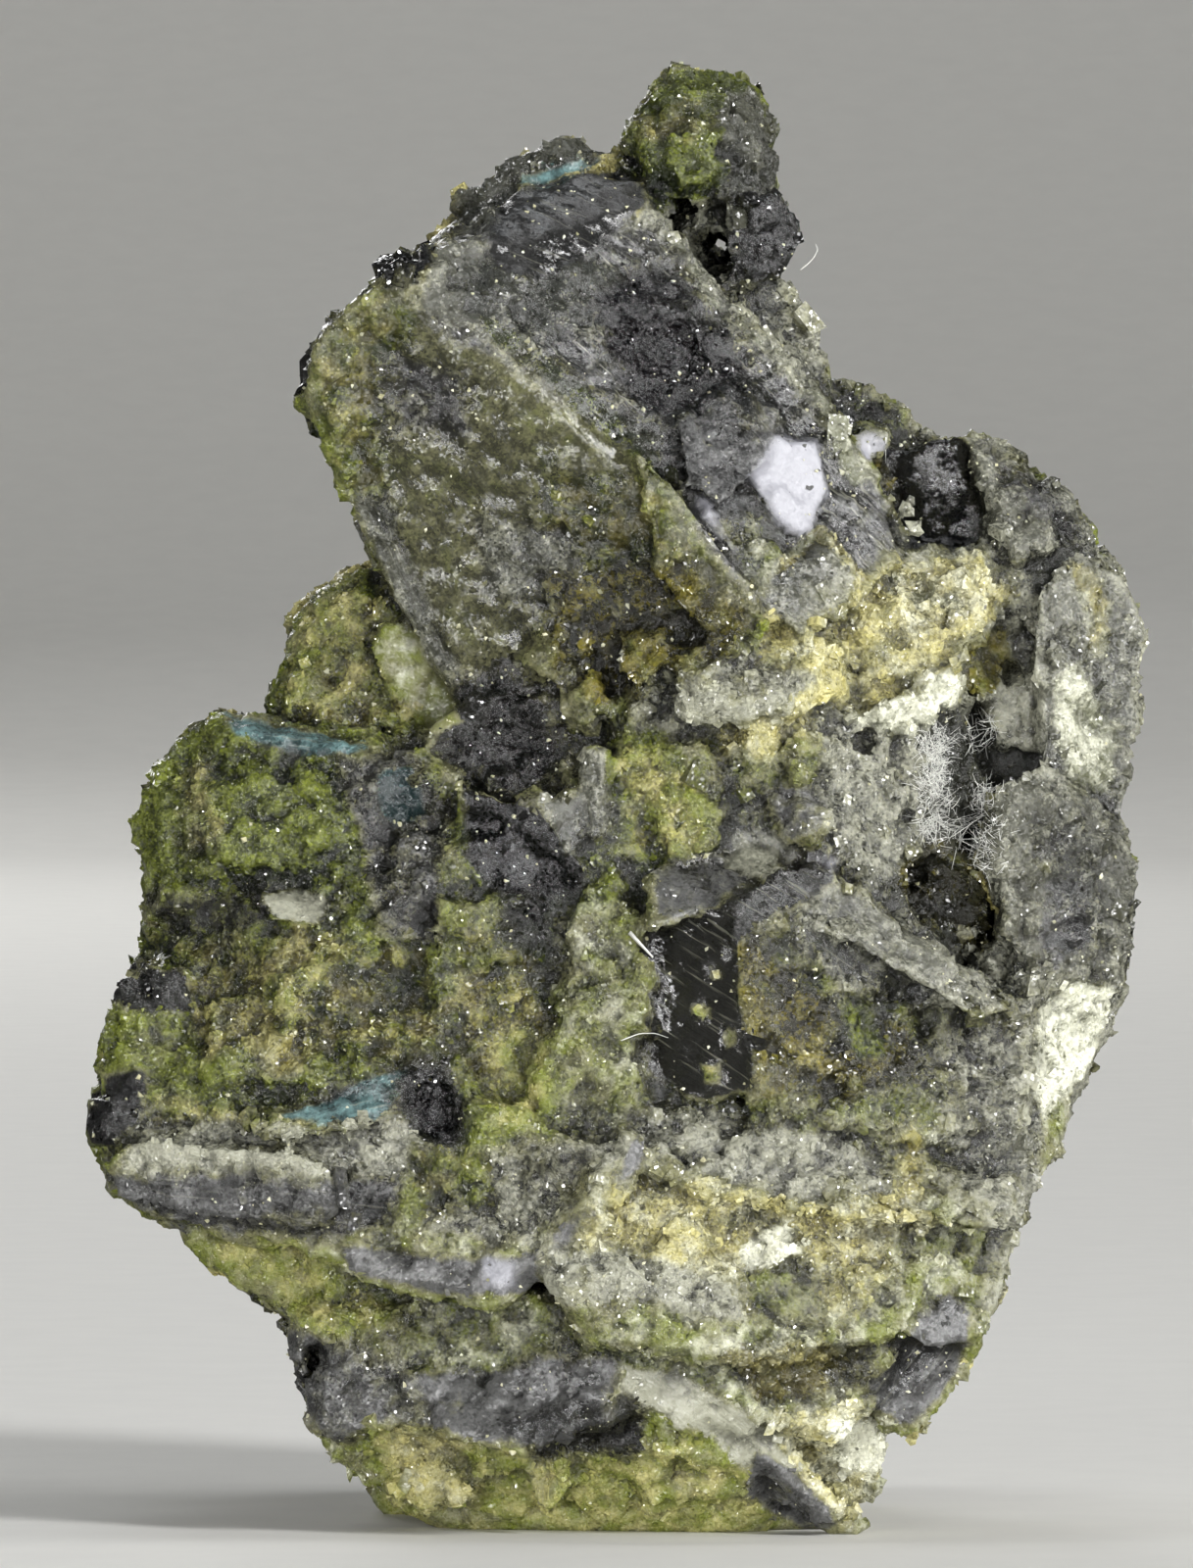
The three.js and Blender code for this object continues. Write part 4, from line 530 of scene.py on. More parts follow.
# Pits of the near side: [across, up, radius]
PITS = (
    (2.32, 8.8, 0.13), (2.05, 9.1, 0.10), (1.5, 9.08, 0.10), (2.75, 8.75, 0.11), (2.45, 8.0, 0.13),
    (2.9, 7.23, 0.12), (2.27, 6.65, 0.10), (3.05, 5.17, 0.14), (2.9, 5.45, 0.12), (3.45, 5.1, 0.12),
    (2.65, 5.4, 0.09), (1.65, 3.05, 0.14), (0.3, 2.95, 0.07), (0.35, 2.77, 0.07), (0.7, 2.55, 0.12),
    (0.8, 3.17, 0.08), (-0.05, 2.15, 0.12), (2.15, 2.1, 0.14), (1.85, 2.15, 0.08), (1.55, 2.0, 0.10),
    (2.8, 2.9, 0.14), (2.6, 2.45, 0.12), (3.35, 2.87, 0.11), (-3.45, 3.3, 0.07), (-1.5, 1.65, 0.12),
    (-1.4, 1.53, 0.08), (-1.95, 2.1, 0.07), (-2.7, 1.25, 0.10), (-0.9, 2.0, 0.08), (0.75, 13.73, 0.13),
    (0.6, 11.65, 0.10), (3.85, 10.2, 0.12), (2.0, 3.6, 0.08), (-0.35, 12.2, 0.08), (-1.55, 11.45, 0.08),
    (0.05, 12.15, 0.1), (-0.1, 11.9, 0.1), (0.75, 11.3, 0.12),
)

# How the ribs and streaks of striated faces run: [across, up] of their direction, and how strong they are
RIBS = {
    "striated face": (0.73, -0.68, 0.8),
    "purple top facet": (0.9, -0.43, 0.3),
    "black mirror face": (0.85, -0.53, 0.6),
    "dark band over the mirror face": (0.85, -0.53, 0.6),
    "striated band": (0.75, -0.65, 1.0),
    "left edge of the olive face": (0.4, -0.92, 0.8),
    "front of the grey prism": (0.97, -0.1, 0.5),
    "lower band of the grey prism": (0.97, -0.1, 0.4),
    "bluish ledge": (0.93, 0.25, 0.9),
    "bluish strip": (0.95, 0.2, 0.5),
    "bluish top of the upper terrace": (0.98, -0.1, 0.6),
    "curved ridge": (0.8, 0.5, 0.6),
    "olive face": (0.6, -0.8, 0.12),
    "right bar": (0.05, -1.0, 0.5),
    "pale streak of the bar": (0.05, -1.0, 0.5),
    "bright face on the right": (-0.35, -0.93, 1.0),
    "grey flank of the middle crystal": (0.8, -0.5, 0.5),
    "upright crystal": (0.1, -1.0, 0.5),
    "amber face": (0.25, -0.97, 0.6),
    "moss under the terraces": (0.9, -0.4, 0.3),
    "right dark facet": (0.6, 0.8, 0.3),
}


def on_grid(points):
    """[across, up] on the cluster's grid for places in millimetres."""
    return np.stack([(points[:, 0] - GRID_MIDDLE) / GRID, points[:, 2] / GRID], axis=1)


def inside_by(spots, outline):
    """How far each spot is inside an outline: negative outside it."""
    corners = np.array(outline)
    nearest = np.full(len(spots), np.inf)
    within = np.zeros(len(spots), bool)
    for start, end in zip(corners, np.roll(corners, -1, axis=0)):
        run = end - start
        offset = spots - start
        share = np.clip(offset @ run / (run @ run), 0, 1)
        nearest = np.minimum(nearest, ((offset - share[:, None] * run) ** 2).sum(axis=1))
        crosses = (start[1] > spots[:, 1]) != (end[1] > spots[:, 1])
        rise = np.where(crosses, end[1] - start[1], 1)
        within ^= crosses & (spots[:, 0] < start[0] + (spots[:, 1] - start[1]) * run[0] / rise)
    return np.where(within, 1, -1) * np.sqrt(nearest)


# Where the near side starts and is full: how much the surface turns to it, and how far forward it is
# in millimetres
NEAR_TURN = (-0.25, 0.2)
NEAR_PLACE = (-3.0, -1.0)


def facing_near(points, normals):
    """1 where the surface looks to the near side, 0 behind."""
    return eased(-normals[:, 1], *NEAR_TURN) * eased(-points[:, 1], *NEAR_PLACE)


# How the finishes are spread where no zone is named: finish, how common it is, and its patches' size
# in millimetres. The finish with the highest noise at a place covers it.
SPREAD = (
    ("moss", 0.22, 3.2),
    ("mustard", 0.0, 2.2),
    ("stone", 0.02, 2.6),
    ("plum", -0.05, 2.4),
    ("jet", 0.04, 2.2),
    ("cream", -0.2, 1.6),
    ("rust", -0.2, 2.0),
)
PATCH_EDGE = 0.28
PATCH_LAYERS = 5

# How flat the patches of smooth minerals are where no zone is named, and how much each mineral counts
SPREAD_FLATNESS = 0.7
SMOOTH = {"plum": 1.0, "jet": 0.6, "stone": 0.3}

# Their tone: its middle, how far it varies and over how many millimetres
SPREAD_TONE, TONE_RANGE, TONE_SIZE = 0.35, 1.1, 2.2

# Ways across and along the streaks there, and the size of the parts that share one set of streaks
STREAK_ACROSS = (0.8, 0.3, 0.5)
STREAK_ALONG = (-0.5, 0.2, 0.8)
STREAK_PART = 2.5

# How many squares the outline of a zone wanders at most, over how many millimetres, and how soft its
# edge is where that starts
WANDER = 0.1
WANDER_SIZE = 0.5
CRISP = 0.04


def weighted(shares, weights, base=0.0):
    """A base, plus the share of each finish times its weight."""
    return sum((weight * shares[name] for name, weight in weights.items()), base)


def background(points):
    """Shares of each finish where no zone is named: broad noisy patches of the same minerals."""
    shares = {name: np.zeros(len(points)) for name in FINISHES}
    heights = np.stack([
        common + layered_noise(points, size, seeded("patches", index), PATCH_LAYERS)
        for index, (name, common, size) in enumerate(SPREAD)
    ])
    second, highest = np.sort(heights, axis=0)[-2:]
    for (name, *_), height in zip(SPREAD, heights):
        rival = np.where(height == highest, second, highest)
        shares[name] = eased(height - rival, -PATCH_EDGE, PATCH_EDGE)
    return shares


def painted(points, normals):
    """Shares of the finishes, flatness, tone, the rougher mirror faces with their painted highlight, and
    streaks of the faces at each point.
    """
    shares = background(points)
    flat = SPREAD_FLATNESS * eased(weighted(shares, SMOOTH), 0.3, 0.8)
    tone = SPREAD_TONE + TONE_RANGE * layered_noise(points, TONE_SIZE, seeded("spread tone"))
    satin_and_glint = np.zeros(len(points))
    turn = np.floor(3 * soft_noise(points, STREAK_PART, seeded("streak turns")))
    streak = np.stack([points @ STREAK_ACROSS + turn, points @ STREAK_ALONG, 0.5 * flat], axis=1)
    seeds = (seeded("wander across"), seeded("wander up"))
    wander = np.stack([layered_noise(points, WANDER_SIZE, seed) for seed in seeds], axis=1)
    spots = on_grid(points)
    near = facing_near(points, normals)
    for name, blend, flatness, lightness, edge, outline in ZONES:
        inner = inside_by(spots + wander * min(WANDER, 2.0 * max(edge - CRISP, 0)), outline)
        cover = near * eased(inner, -edge, edge)
        for finish in FINISHES:
            shares[finish] = shares[finish] * (1 - cover) + BLENDS[blend].get(finish, 0) * cover
        flat = flat * (1 - cover) + flatness * cover
        tone = tone * (1 - cover) + lightness * cover
        # Mirror faces: rougher, and whitened in the material as a painted highlight
        satin_and_glint = satin_and_glint * (1 - cover) + (blend == "painted_glint") * cover
        across, up, strength = RIBS.get(name, (1, 0, 0))
        mostly = cover > 0.5
        streak[mostly, :2] = spots[mostly] @ np.array([(-up, across), (across, up)]) * GRID
        streak[:, 2] = streak[:, 2] * (1 - cover) + strength * cover
    return mottled(points, shares, flat, near), flat, tone, satin_and_glint, streak


# Patches of one mineral in another, all over the cluster: finish, size in millimetres, where the noise
# starts and ends, and how strong
MOTTLES = (
    ("moss", 1.1, 0.1, 0.45, 0.15),
    ("stone", 0.8, 0.15, 0.45, 0.3),
    ("jet", 0.6, 0.12, 0.4, 0.4),
    ("mustard", 0.4, 0.25, 0.5, 0.25),
    ("cream", 0.3, 0.4, 0.6, 0.3),
)

# How mottled a wholly rough surface is and how much more so behind, how much each mineral, and the painted
# sheen, keeps other minerals out of it, and how much of the mottling is left at least
MOTTLED = 1.15
MOTTLED_BEHIND = 0.6
STEADY = {"sheen": 0.6, "jet": 0.9, "mustard": 0.4, "cream": 0.5, "moss": 0.6}
LEAST_MOTTLED = 0.08


def mottled(points, shares, flat, near):
    """The shares, with patches of one mineral in another where the surface is rough."""
    rough = MOTTLED - flat - weighted(shares, STEADY) + MOTTLED_BEHIND * (1 - near)
    rough = np.clip(rough, LEAST_MOTTLED, 1)
    for index, (mottle, size, start, end, strength) in enumerate(MOTTLES):
        noise = layered_noise(points, size, seeded("mottles", index))
        cover = rough * strength * eased(noise, start, end)
        for finish in FINISHES:
            shares[finish] = shares[finish] * (1 - cover) + (finish == mottle) * cover
    return shares


# Spacing and length of the ribs of striated faces, in millimetres, and how many times closer fine ones are
RIB_PITCH = 0.34
RIB_LENGTH = 1.6
FINE_RIBS = 2.3


def ribbed(streak):
    """Height of the uneven ribs: [across, along, strength] of the streaks, in millimetres."""
    scaled = streak * (1 / RIB_PITCH, 1 / RIB_LENGTH, 0)
    fine = soft_noise(scaled * (FINE_RIBS, 1, 1), 1.0, seeded("fine ribs"))
    return streak[:, 2] * (soft_noise(scaled, 1.0, seeded("ribs")) + 0.5 * fine)


def applied(piece, kind, name, settings):
    """The piece's mesh after one modifier."""
    change = piece.modifiers.new(name, kind)
    for key, value in settings.items():
        setattr(change, key, value)
    bpy.context.view_layer.update()
    mesh = bpy.data.meshes.new_from_object(piece.evaluated_get(bpy.context.evaluated_depsgraph_get()))
    piece.modifiers.remove(change)
    piece.data = mesh
    return mesh


def vertex_places(mesh):
    places = np.empty(len(mesh.vertices) * 3, np.float32)
    mesh.vertices.foreach_get("co", places)
    return places.reshape(-1, 3).astype(float)


def triangle_corners(mesh):
    mesh.calc_loop_triangles()
    corners = np.empty(len(mesh.loop_triangles) * 3, np.int32)
    mesh.loop_triangles.foreach_get("vertices", corners)
    return corners.reshape(-1, 3)


def corner_normals(places, corners):
    """Area-weighted normals at the vertices."""
    a, b, c = (places[corners[:, i]] for i in range(3))
    faces = np.cross(b - a, c - a)
    normals = np.zeros_like(places)
    for i in range(3):
        for axis in range(3):
            normals[:, axis] += np.bincount(corners[:, i], faces[:, axis], len(places))
    return normals / np.maximum(np.linalg.norm(normals, axis=1, keepdims=True), 1e-12)


def smoothed(values, corners, rounds):
    """Values averaged with those of their neighbours, a few times."""
    start = np.concatenate([corners[:, i] for i in (0, 1, 2, 1, 2, 0)])
    end = np.concatenate([corners[:, i] for i in (1, 2, 0, 0, 1, 2)])
    count = np.maximum(np.bincount(start, minlength=len(values)), 1)
    for _ in range(rounds):
        total = np.stack(
            [np.bincount(start, values[end, i], len(values)) for i in range(values.shape[1])], axis=1
        )
        values = 0.5 * values + 0.5 * total / count[:, None]
    return values


# Rounds of smoothing behind the normals that relief and grains stand along
NORMAL_ROUNDS = 2


def soft_normals(places, corners):
    """Normals of the slightly smoothed surface."""
    return corner_normals(smoothed(places, corners, NORMAL_ROUNDS), corners)


def held_in(places):
    """The places, held in the solid's box but for what may stand proud of its sides and top."""
    return np.clip(places, LOW - (PROUD, PROUD, 0), HIGH + PROUD)


def mesh_from(name, places, corners):
    """A triangle mesh in metres from places in millimetres."""
    mesh = bpy.data.meshes.new(name)
    mesh.vertices.add(len(places))
    mesh.vertices.foreach_set("co", (places * MM).astype(np.float32).ravel())
    mesh.loops.add(len(corners) * 3)
    mesh.loops.foreach_set("vertex_index", corners.astype(np.int32).ravel())
    mesh.polygons.add(len(corners))
    mesh.polygons.foreach_set("loop_start", np.arange(0, len(corners) * 3, 3, dtype=np.int32))
    mesh.update(calc_edges=True)
    return mesh


def keep_values(mesh, name, values):
    """Keeps one number, or four, per vertex on the mesh."""
    kind = "FLOAT" if values.ndim == 1 else "FLOAT_COLOR"
    layer = mesh.attributes.new(name, kind, "POINT")
    layer.data.foreach_set("value" if values.ndim == 1 else "color", values.astype(np.float32).ravel())


def kept_values(mesh, name, width=1):
    layer = mesh.attributes[name]
    values = np.empty(len(mesh.vertices) * width, np.float32)
    layer.data.foreach_get("value" if width == 1 else "color", values)
    return values if width == 1 else values.reshape(-1, width)


# The layers of a mesh that hold the shares of the finishes, four in each, in the order of FINISHES
SHARE_LAYERS = ("zone_a", "zone_b")


def keep_shares(mesh, zones):
    for index, layer in enumerate(SHARE_LAYERS):
        keep_values(mesh, layer, zones[:, 4 * index:4 * index + 4])


def kept_shares(mesh):
    return np.concatenate([kept_values(mesh, layer, 4) for layer in SHARE_LAYERS], axis=1)


def shown(name, mesh, material):
    piece = bpy.data.objects.new(name, mesh)
    bpy.context.scene.collection.objects.link(piece)
    mesh.materials.append(material)
    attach(piece, BODY_NAME)
    return piece


# The gap round each view in the body's layout, in millimetres, and the smoothing before faces are sorted
LAYOUT_GAP = 0.5
LAYOUT_ROUNDS = 6


def body_layout(mesh, places, corners):
    """Lays the body's faces out flat for texture baking: six views of it side by side."""
    across, deep, up = HIGH - LOW
    gap = LAYOUT_GAP
    scale = 1 / (across + 2 * deep + 6 * gap)
    middles = smoothed(places, corners, LAYOUT_ROUNDS)
    normals = corner_normals(middles, corners)[corners].mean(axis=1)
    side = np.abs(normals).argmax(axis=1)
    ahead = normals[np.arange(len(side)), side] > 0
    views = (
        (1, False, (0, 2), (gap, gap)),
        (0, False, (1, 2), (across + 2 * gap, gap)),
        (0, True, (1, 2), (across + deep + 3 * gap, gap)),
        (1, True, (0, 2), (gap, up + 2 * gap)),
        (2, True, (0, 1), (across + 2 * gap, up + 2 * gap)),
        (2, False, (0, 1), (2 * across + 3 * gap, up + 2 * gap)),
    )
    spots = np.zeros((len(corners), 3, 2))
    for axis, positive, (first, second), (right, high) in views:
        chosen = (side == axis) & (ahead == positive)
        flat = places[corners[chosen]][:, :, (first, second)] - LOW[[first, second]]
        spots[chosen] = (flat + (right, high)) * scale
    layer = mesh.uv_layers.new(name="OFBake")
    layer.data.foreach_set("uv", spots.astype(np.float32).ravel())


# In how many steps the mesh gets coarser towards the back
BEHIND_LEVELS = 8


def shaped_body(sizes):
    """The solid's mesh, fine on the near side and coarser behind, in millimetres."""
    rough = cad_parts[NODE].data.copy()
    rough.transform(Matrix.Scale(1 / MM, 4))
    carrier = bpy.data.objects.new("carrier", rough)
    bpy.context.scene.collection.objects.link(carrier)
    fine = applied(carrier, "REMESH", "even mesh", {"mode": "VOXEL", "voxel_size": sizes.voxel / MM})
    places = vertex_places(fine)
    normals = corner_normals(places, triangle_corners(fine))
    behind = carrier.vertex_groups.new(name="behind")
    far = 1 - facing_near(places, normals)
    for level in range(1, BEHIND_LEVELS + 1):
        members = np.nonzero(np.round(far * BEHIND_LEVELS) == level)[0].tolist()
        behind.add(members, level / BEHIND_LEVELS, "REPLACE")
    most = sizes.triangles / (2 * len(fine.polygons))
    mesh = applied(carrier, "DECIMATE", "coarser behind", {"ratio": most, "vertex_group": "behind"})
    places = vertex_places(mesh)
    corners = triangle_corners(mesh)
    bpy.data.objects.remove(carrier)
    return places, corners


# Slots and holes of the near side that are shallower and softer than in the plain solid: across, up,
# reach, and how deep they still are in millimetres
SOFTENED = (
    (-1.27, 7.95, 0.6, 0.3), (-1.93, 4.2, 0.7, 0.05), (1.12, 4.09, 0.45, 0.3), (-3.28, 1.6, 0.6, 0.3),
    (-0.02, 6.75, 0.35, 0.3), (3.28, 6.3, 0.6, 0.22), (3.8, 5.7, 0.35, 0.05), (4.02, 8.2, 0.5, 0.2),
    (0.35, 11.9, 0.6, 0.1),
)
SOFTENING = 45
SLOT_FILL = 0.9

# A slot's rim is measured out to this many times its reach
SLOT_RIM = 1.5


def softened(places, corners):
    """The places with the listed slots and holes relaxed."""
    around = smoothed(places, corners, SOFTENING)
    near = facing_near(places, corner_normals(around, corners))
    spots = on_grid(places)
    for across, up, reach, depth in SOFTENED:
        distance = np.linalg.norm(spots - (across, up), axis=1) / reach
        cover = eased(near, 0.0, 0.3) * (1 - eased(distance, 0.4, 1.0))
        places = places + (around - places) * cover[:, None]
        rim = (distance > 1.0) & (distance < SLOT_RIM) & (near > 0.5)
        deep = np.maximum(places[:, 1] - np.median(places[rim, 1]) - depth, 0)
        places[:, 1] -= SLOT_FILL * deep * (near > 0.02) * (1 - eased(distance, 0.7, 1.0))
    return places


# How deep a pit is for its radius, and how many squares its outline wanders, over how many millimetres
PIT_DEPTH = 0.75
PIT_WANDER = 0.1
PIT_WANDER_SIZE = 0.22


def pit_depth(points, normals):
    """Depth in millimetres of the solution pits of the near side."""
    near = facing_near(points, normals)
    depth = np.zeros(len(points))
    seeds = (seeded("pits across"), seeded("pits up"))
    uneven = np.stack([soft_noise(points, PIT_WANDER_SIZE, seed) for seed in seeds], axis=1)
    spots = on_grid(points) + uneven * PIT_WANDER
    for across, up, radius in PITS:
        reach = np.linalg.norm(spots - (across, up), axis=1) / radius
        depth = np.maximum(depth, near * PIT_DEPTH * radius * GRID * (1 - eased(reach, 0.2, 1.0)))
    return depth


# How large the lumps, steps, chips and grit of the relief are, and how high the grit is, in millimetres
LUMP_SIZE = 1.1
STEP_SIZE = 0.6
CHIP_SIZE = 0.27
GRIT_SIZE = 0.3
GRIT_HEIGHT = 0.014

# Broken faces and larger blocks of the back: size and height in millimetres, and how far it all lies back
BACK_FACE, BACK_FACE_HEIGHT = 1.5, 0.3
BACK_BLOCK, BACK_BLOCK_HEIGHT = 3.0, 0.3
BACK_SUNK = 0.12


def relief(points, normals, flat, ribs, sizes):
    """How far each point moves out along its normal, in millimetres."""
    crust = 1 - flat
    height = crust * sizes.lumps / MM * layered_noise(points, LUMP_SIZE, seeded("lumps"))
    height += crust * sizes.steps / MM * facet_noise(points, STEP_SIZE, seeded("steps"))
    height += crust**0.5 * sizes.chips / MM * facet_noise(points, CHIP_SIZE, seeded("chips"))
    height += GRIT_HEIGHT * (1 - 0.95 * flat) * layered_noise(points, GRIT_SIZE, seeded("grit"))
    height += sizes.ribs / MM * ribs
    behind = 1 - facing_near(points, normals)
    faces = facet_noise(points, BACK_FACE, seeded("back faces"))
    height += behind * (BACK_FACE_HEIGHT * faces - BACK_SUNK)
    blocks = facet_noise(points, BACK_BLOCK, seeded("back blocks"))
    height += behind * BACK_BLOCK_HEIGHT * np.minimum(blocks, 0)
    height -= pit_depth(points, normals)
    return height


# Small hollows are found at three scales: rounds of smoothing, and how deep a full hollow is in millimetres
# The materials darken these hollows as painted shade.
HOLLOW_SCALES = ((4, 0.03), (16, 0.07), (50, 0.16))


def hollowness(places, corners):
    """How deep each point lies in a hollow, from -1 on an edge to 1 in a crevice."""
    total = np.zeros(len(places))
    for rounds, reach in HOLLOW_SCALES:
        around = smoothed(places, corners, rounds)
        total += np.clip(((around - places) * corner_normals(around, corners)).sum(axis=1) / reach, -1, 1)
    return total / len(HOLLOW_SCALES)


# The cells that broad hollows are averaged over, in millimetres, and how deep a full hollow is. The
# margin keeps empty cells all round.
HOLLOW_CELL = 0.3
HOLLOW_DEPTH = 0.16
HOLLOW_MARGIN = 4


def broad_hollows(places, normals):
    """How deep each point lies in a hollow about a millimetre wide, from -1 on a ridge to 1. The materials
    darken these hollows as painted shade.
    """
    index = np.floor((places - LOW) / HOLLOW_CELL).astype(int) + HOLLOW_MARGIN
    shape = tuple(index.max(axis=0) + HOLLOW_MARGIN + 1)
    chosen = np.ravel_multi_index(index.T, shape)
    totals = []
    for values in (np.ones(len(places)), *places.T):
        total = np.bincount(chosen, values, math.prod(shape)).reshape(shape)
        for axis in (0, 1, 2, 0, 1, 2):
            total = total + np.roll(total, 1, axis) + np.roll(total, -1, axis)
        totals.append(total.ravel()[chosen])
    middle = np.stack(totals[1:], axis=1) / totals[0][:, None]
    return np.clip(((middle - places) * normals).sum(axis=1) / HOLLOW_DEPTH, -1, 1)


# A ridge is sharp by its height over the smoothed form, in millimetres, and is broken up less by this
CREST_ROUNDS = 10
CREST_START, CREST_END = 0.02, 0.07
CREST_CALM = 0.55


def crests(places, corners):
    """1 along the sharp ridges of the plain solid, 0 elsewhere."""
    around = smoothed(places, corners, CREST_ROUNDS)
    height = ((places - around) * corner_normals(around, corners)).sum(axis=1)
    return eased(height, CREST_START, CREST_END)


# The relief starts and is full at these heights over the cut, and the surface lies back by this much, all
# in millimetres
FOOT_START, FOOT_END = 0.02, 0.3
BODY_SUNK = 0.03

# Rounds of smoothing of the broad hollows
BROAD_ROUNDS = 8


class EPIDOTE_OT_grow_body(bpy.types.Operator):
    """Grows the crystal body: the solid's form with steps, chips, ribs and pits"""

    bl_idname = "epidote.grow_body"
    bl_label = "Crystal body"

    def execute(self, context):
        sizes = context.scene.epidote_sizes
        places, corners = shaped_body(sizes)
        places = softened(places, corners)
        normals = soft_normals(places, corners)
        shares, flat, tone, satin_and_glint, streak = painted(places, normals)
        ribs = ribbed(streak)
        foot = eased(places[:, 2], LOW[2] + FOOT_START, LOW[2] + FOOT_END)
        crest = crests(places, corners)
        broad = smoothed(broad_hollows(places, normals)[:, None], corners, BROAD_ROUNDS)[:, 0]
        move = relief(places, normals, flat, ribs, sizes) * foot * (1 - CREST_CALM * crest)
        places = held_in(places + normals * np.minimum(move - BODY_SUNK * foot, PROUD)[:, None])
        mesh = mesh_from("cluster_body", places, corners)
        keep_shares(mesh, np.stack([shares[name] for name in FINISHES], axis=1))
        layers = {
            "flat": flat,
            # Small and broad hollows, which the materials darken as painted shade
            "hollow": hollowness(places, corners),
            "broad": broad,
            "crest": crest,
            "shade": 0.5 + 0.5 * layered_noise(places, 0.4, seeded("shade")) + 0.3 * ribs,
            "tone": tone,
            "satin_and_glint": satin_and_glint,
            "streak": np.column_stack([streak, np.ones(len(streak))]),
        }
        for name, values in layers.items():
            keep_values(mesh, name, values)
        body_layout(mesh, places, corners)
        mesh.shade_smooth()
        piece = shown("cluster_body", mesh, body_material())
        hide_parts(NODE)
        return {"FINISHED"}


def new_group(name, inputs, outputs):
    group = bpy.data.node_groups.new(name, "ShaderNodeTree")
    for direction, sockets in (("INPUT", inputs), ("OUTPUT", outputs)):
        for label, kind, default in sockets:
            socket = group.interface.new_socket(name=label, in_out=direction, socket_type=kind)
            if default is not None:
                socket.default_value = default
    start = group.nodes.new("NodeGroupInput")
    end = group.nodes.new("NodeGroupOutput")
    return group, start, end


# The middle of the range of a noise's three numbers
MIDDLE = (0.5, 0.5, 0.5)

FLOAT = "NodeSocketFloat"
COLOUR = "NodeSocketColor"
VECTOR = "NodeSocketVector"


class Wiring:
    """Short ways to add and join the nodes of one tree."""

    def __init__(self, tree):
        self.nodes = tree.nodes
        self.links = tree.links

    def feed(self, value, socket):
        if isinstance(value, bpy.types.NodeSocket):
            self.links.new(value, socket)
        else:
            socket.default_value = value

    def add(self, kind, values=None, **settings):
        node = self.nodes.new(kind)
        for key, value in settings.items():
            setattr(node, key, value)
        for key, value in (values or {}).items():
            self.feed(value, node.inputs[key])
        return node

    def math(self, operation, first, second=0.0, third=0.0, clamp=False):
        values = {0: first, 1: second, 2: third}
        return self.add("ShaderNodeMath", values, operation=operation, use_clamp=clamp).outputs[0]

    def times(self, first, second, clamp=False):
        return self.math("MULTIPLY", first, second, clamp=clamp)

    def times_plus(self, first, second, third, clamp=False):
        """The first times the second, plus the third."""
        return self.math("MULTIPLY_ADD", first, second, third, clamp)

    def vector(self, operation, first, second):
        """Adds, subtracts or scales vectors."""
        node = self.add("ShaderNodeVectorMath", {0: first}, operation=operation)
        self.feed(second, node.inputs[3 if operation == "SCALE" else 1])
        return node.outputs[0]

    def unit(self, vector):
        return self.add("ShaderNodeVectorMath", {0: vector}, operation="NORMALIZE").outputs[0]

    def parts(self, colour):
        """The three numbers of a colour."""
        return self.add("ShaderNodeSeparateColor", {0: colour}).outputs

    def blend(self, share, first, second, kind="MIX"):
        node = self.nodes.new("ShaderNodeMix")
        node.data_type = "RGBA"
        node.blend_type = kind
        self.feed(share, node.inputs[0])
        self.feed(first, node.inputs[6])
        self.feed(second, node.inputs[7])
        return node.outputs[2]

    def kept(self, name):
        return self.add("ShaderNodeAttribute", attribute_name=name, attribute_type="GEOMETRY")

    def kept_value(self, name):
        return self.kept(name).outputs["Fac"]

    def finish_shares(self):
        """The share of each finish, by its name."""
        found = []
        for layer in SHARE_LAYERS:
            kept = self.kept(layer)
            found += [*self.parts(kept.outputs["Color"]), kept.outputs["Alpha"]]
        return dict(zip(FINISHES, found))

    def cells(self, place, scale):
        return self.add("ShaderNodeTexVoronoi", {"Vector": place, "Scale": scale}, feature="F1").outputs

    def noise(self, place, scale, detail=2.0, roughness=0.5):
        values = {"Vector": place, "Scale": scale, "Detail": detail, "Roughness": roughness}
        return self.add("ShaderNodeTexNoise", values).outputs

    def ramp(self, value, start, end, low=0.0, high=1.0):
        node = self.add("ShaderNodeMapRange", interpolation_type="SMOOTHSTEP")
        for socket, given in zip(node.inputs, (value, start, end, low, high)):
            self.feed(given, socket)
        return node.outputs[0]

    def group(self, tree, values=None):
        node = self.nodes.new("ShaderNodeGroup")
        node.node_tree = tree
        for key, value in (values or {}).items():
            self.feed(value, node.inputs[key])
        return node


def once(build):
    """Builds a node group the first time it is asked for."""
    made = {}

    def find():
        if build not in made:
            made[build] = build()
        return made[build]
    return find


@once
def millimetre_group():
    """Object places in millimetres, slightly bent so that no pattern runs in straight lines."""
    group, start, end = new_group("Millimetres", [("Bend", FLOAT, 0.03)], [("Place", VECTOR, None)])
    wire = Wiring(group)
    place = wire.add("ShaderNodeTexCoord").outputs["Object"]
    scaled = wire.vector("SCALE", place, 1 / MM)
    wobble = wire.vector("SUBTRACT", wire.noise(scaled, 6.0)["Color"], MIDDLE)
    bend = wire.vector("SCALE", wobble, start.outputs["Bend"])
    wire.feed(wire.vector("ADD", scaled, bend), end.inputs["Place"])
    return group


# Each finish has a colour for its dark flecks and one for its light flecks
TONES = ("dark", "light")

# Which of the six patchiness noises breaks up each finish, in the order of FINISHES
PATCHES = (0, 1, 2, 3, 4, 5, 0, 2)


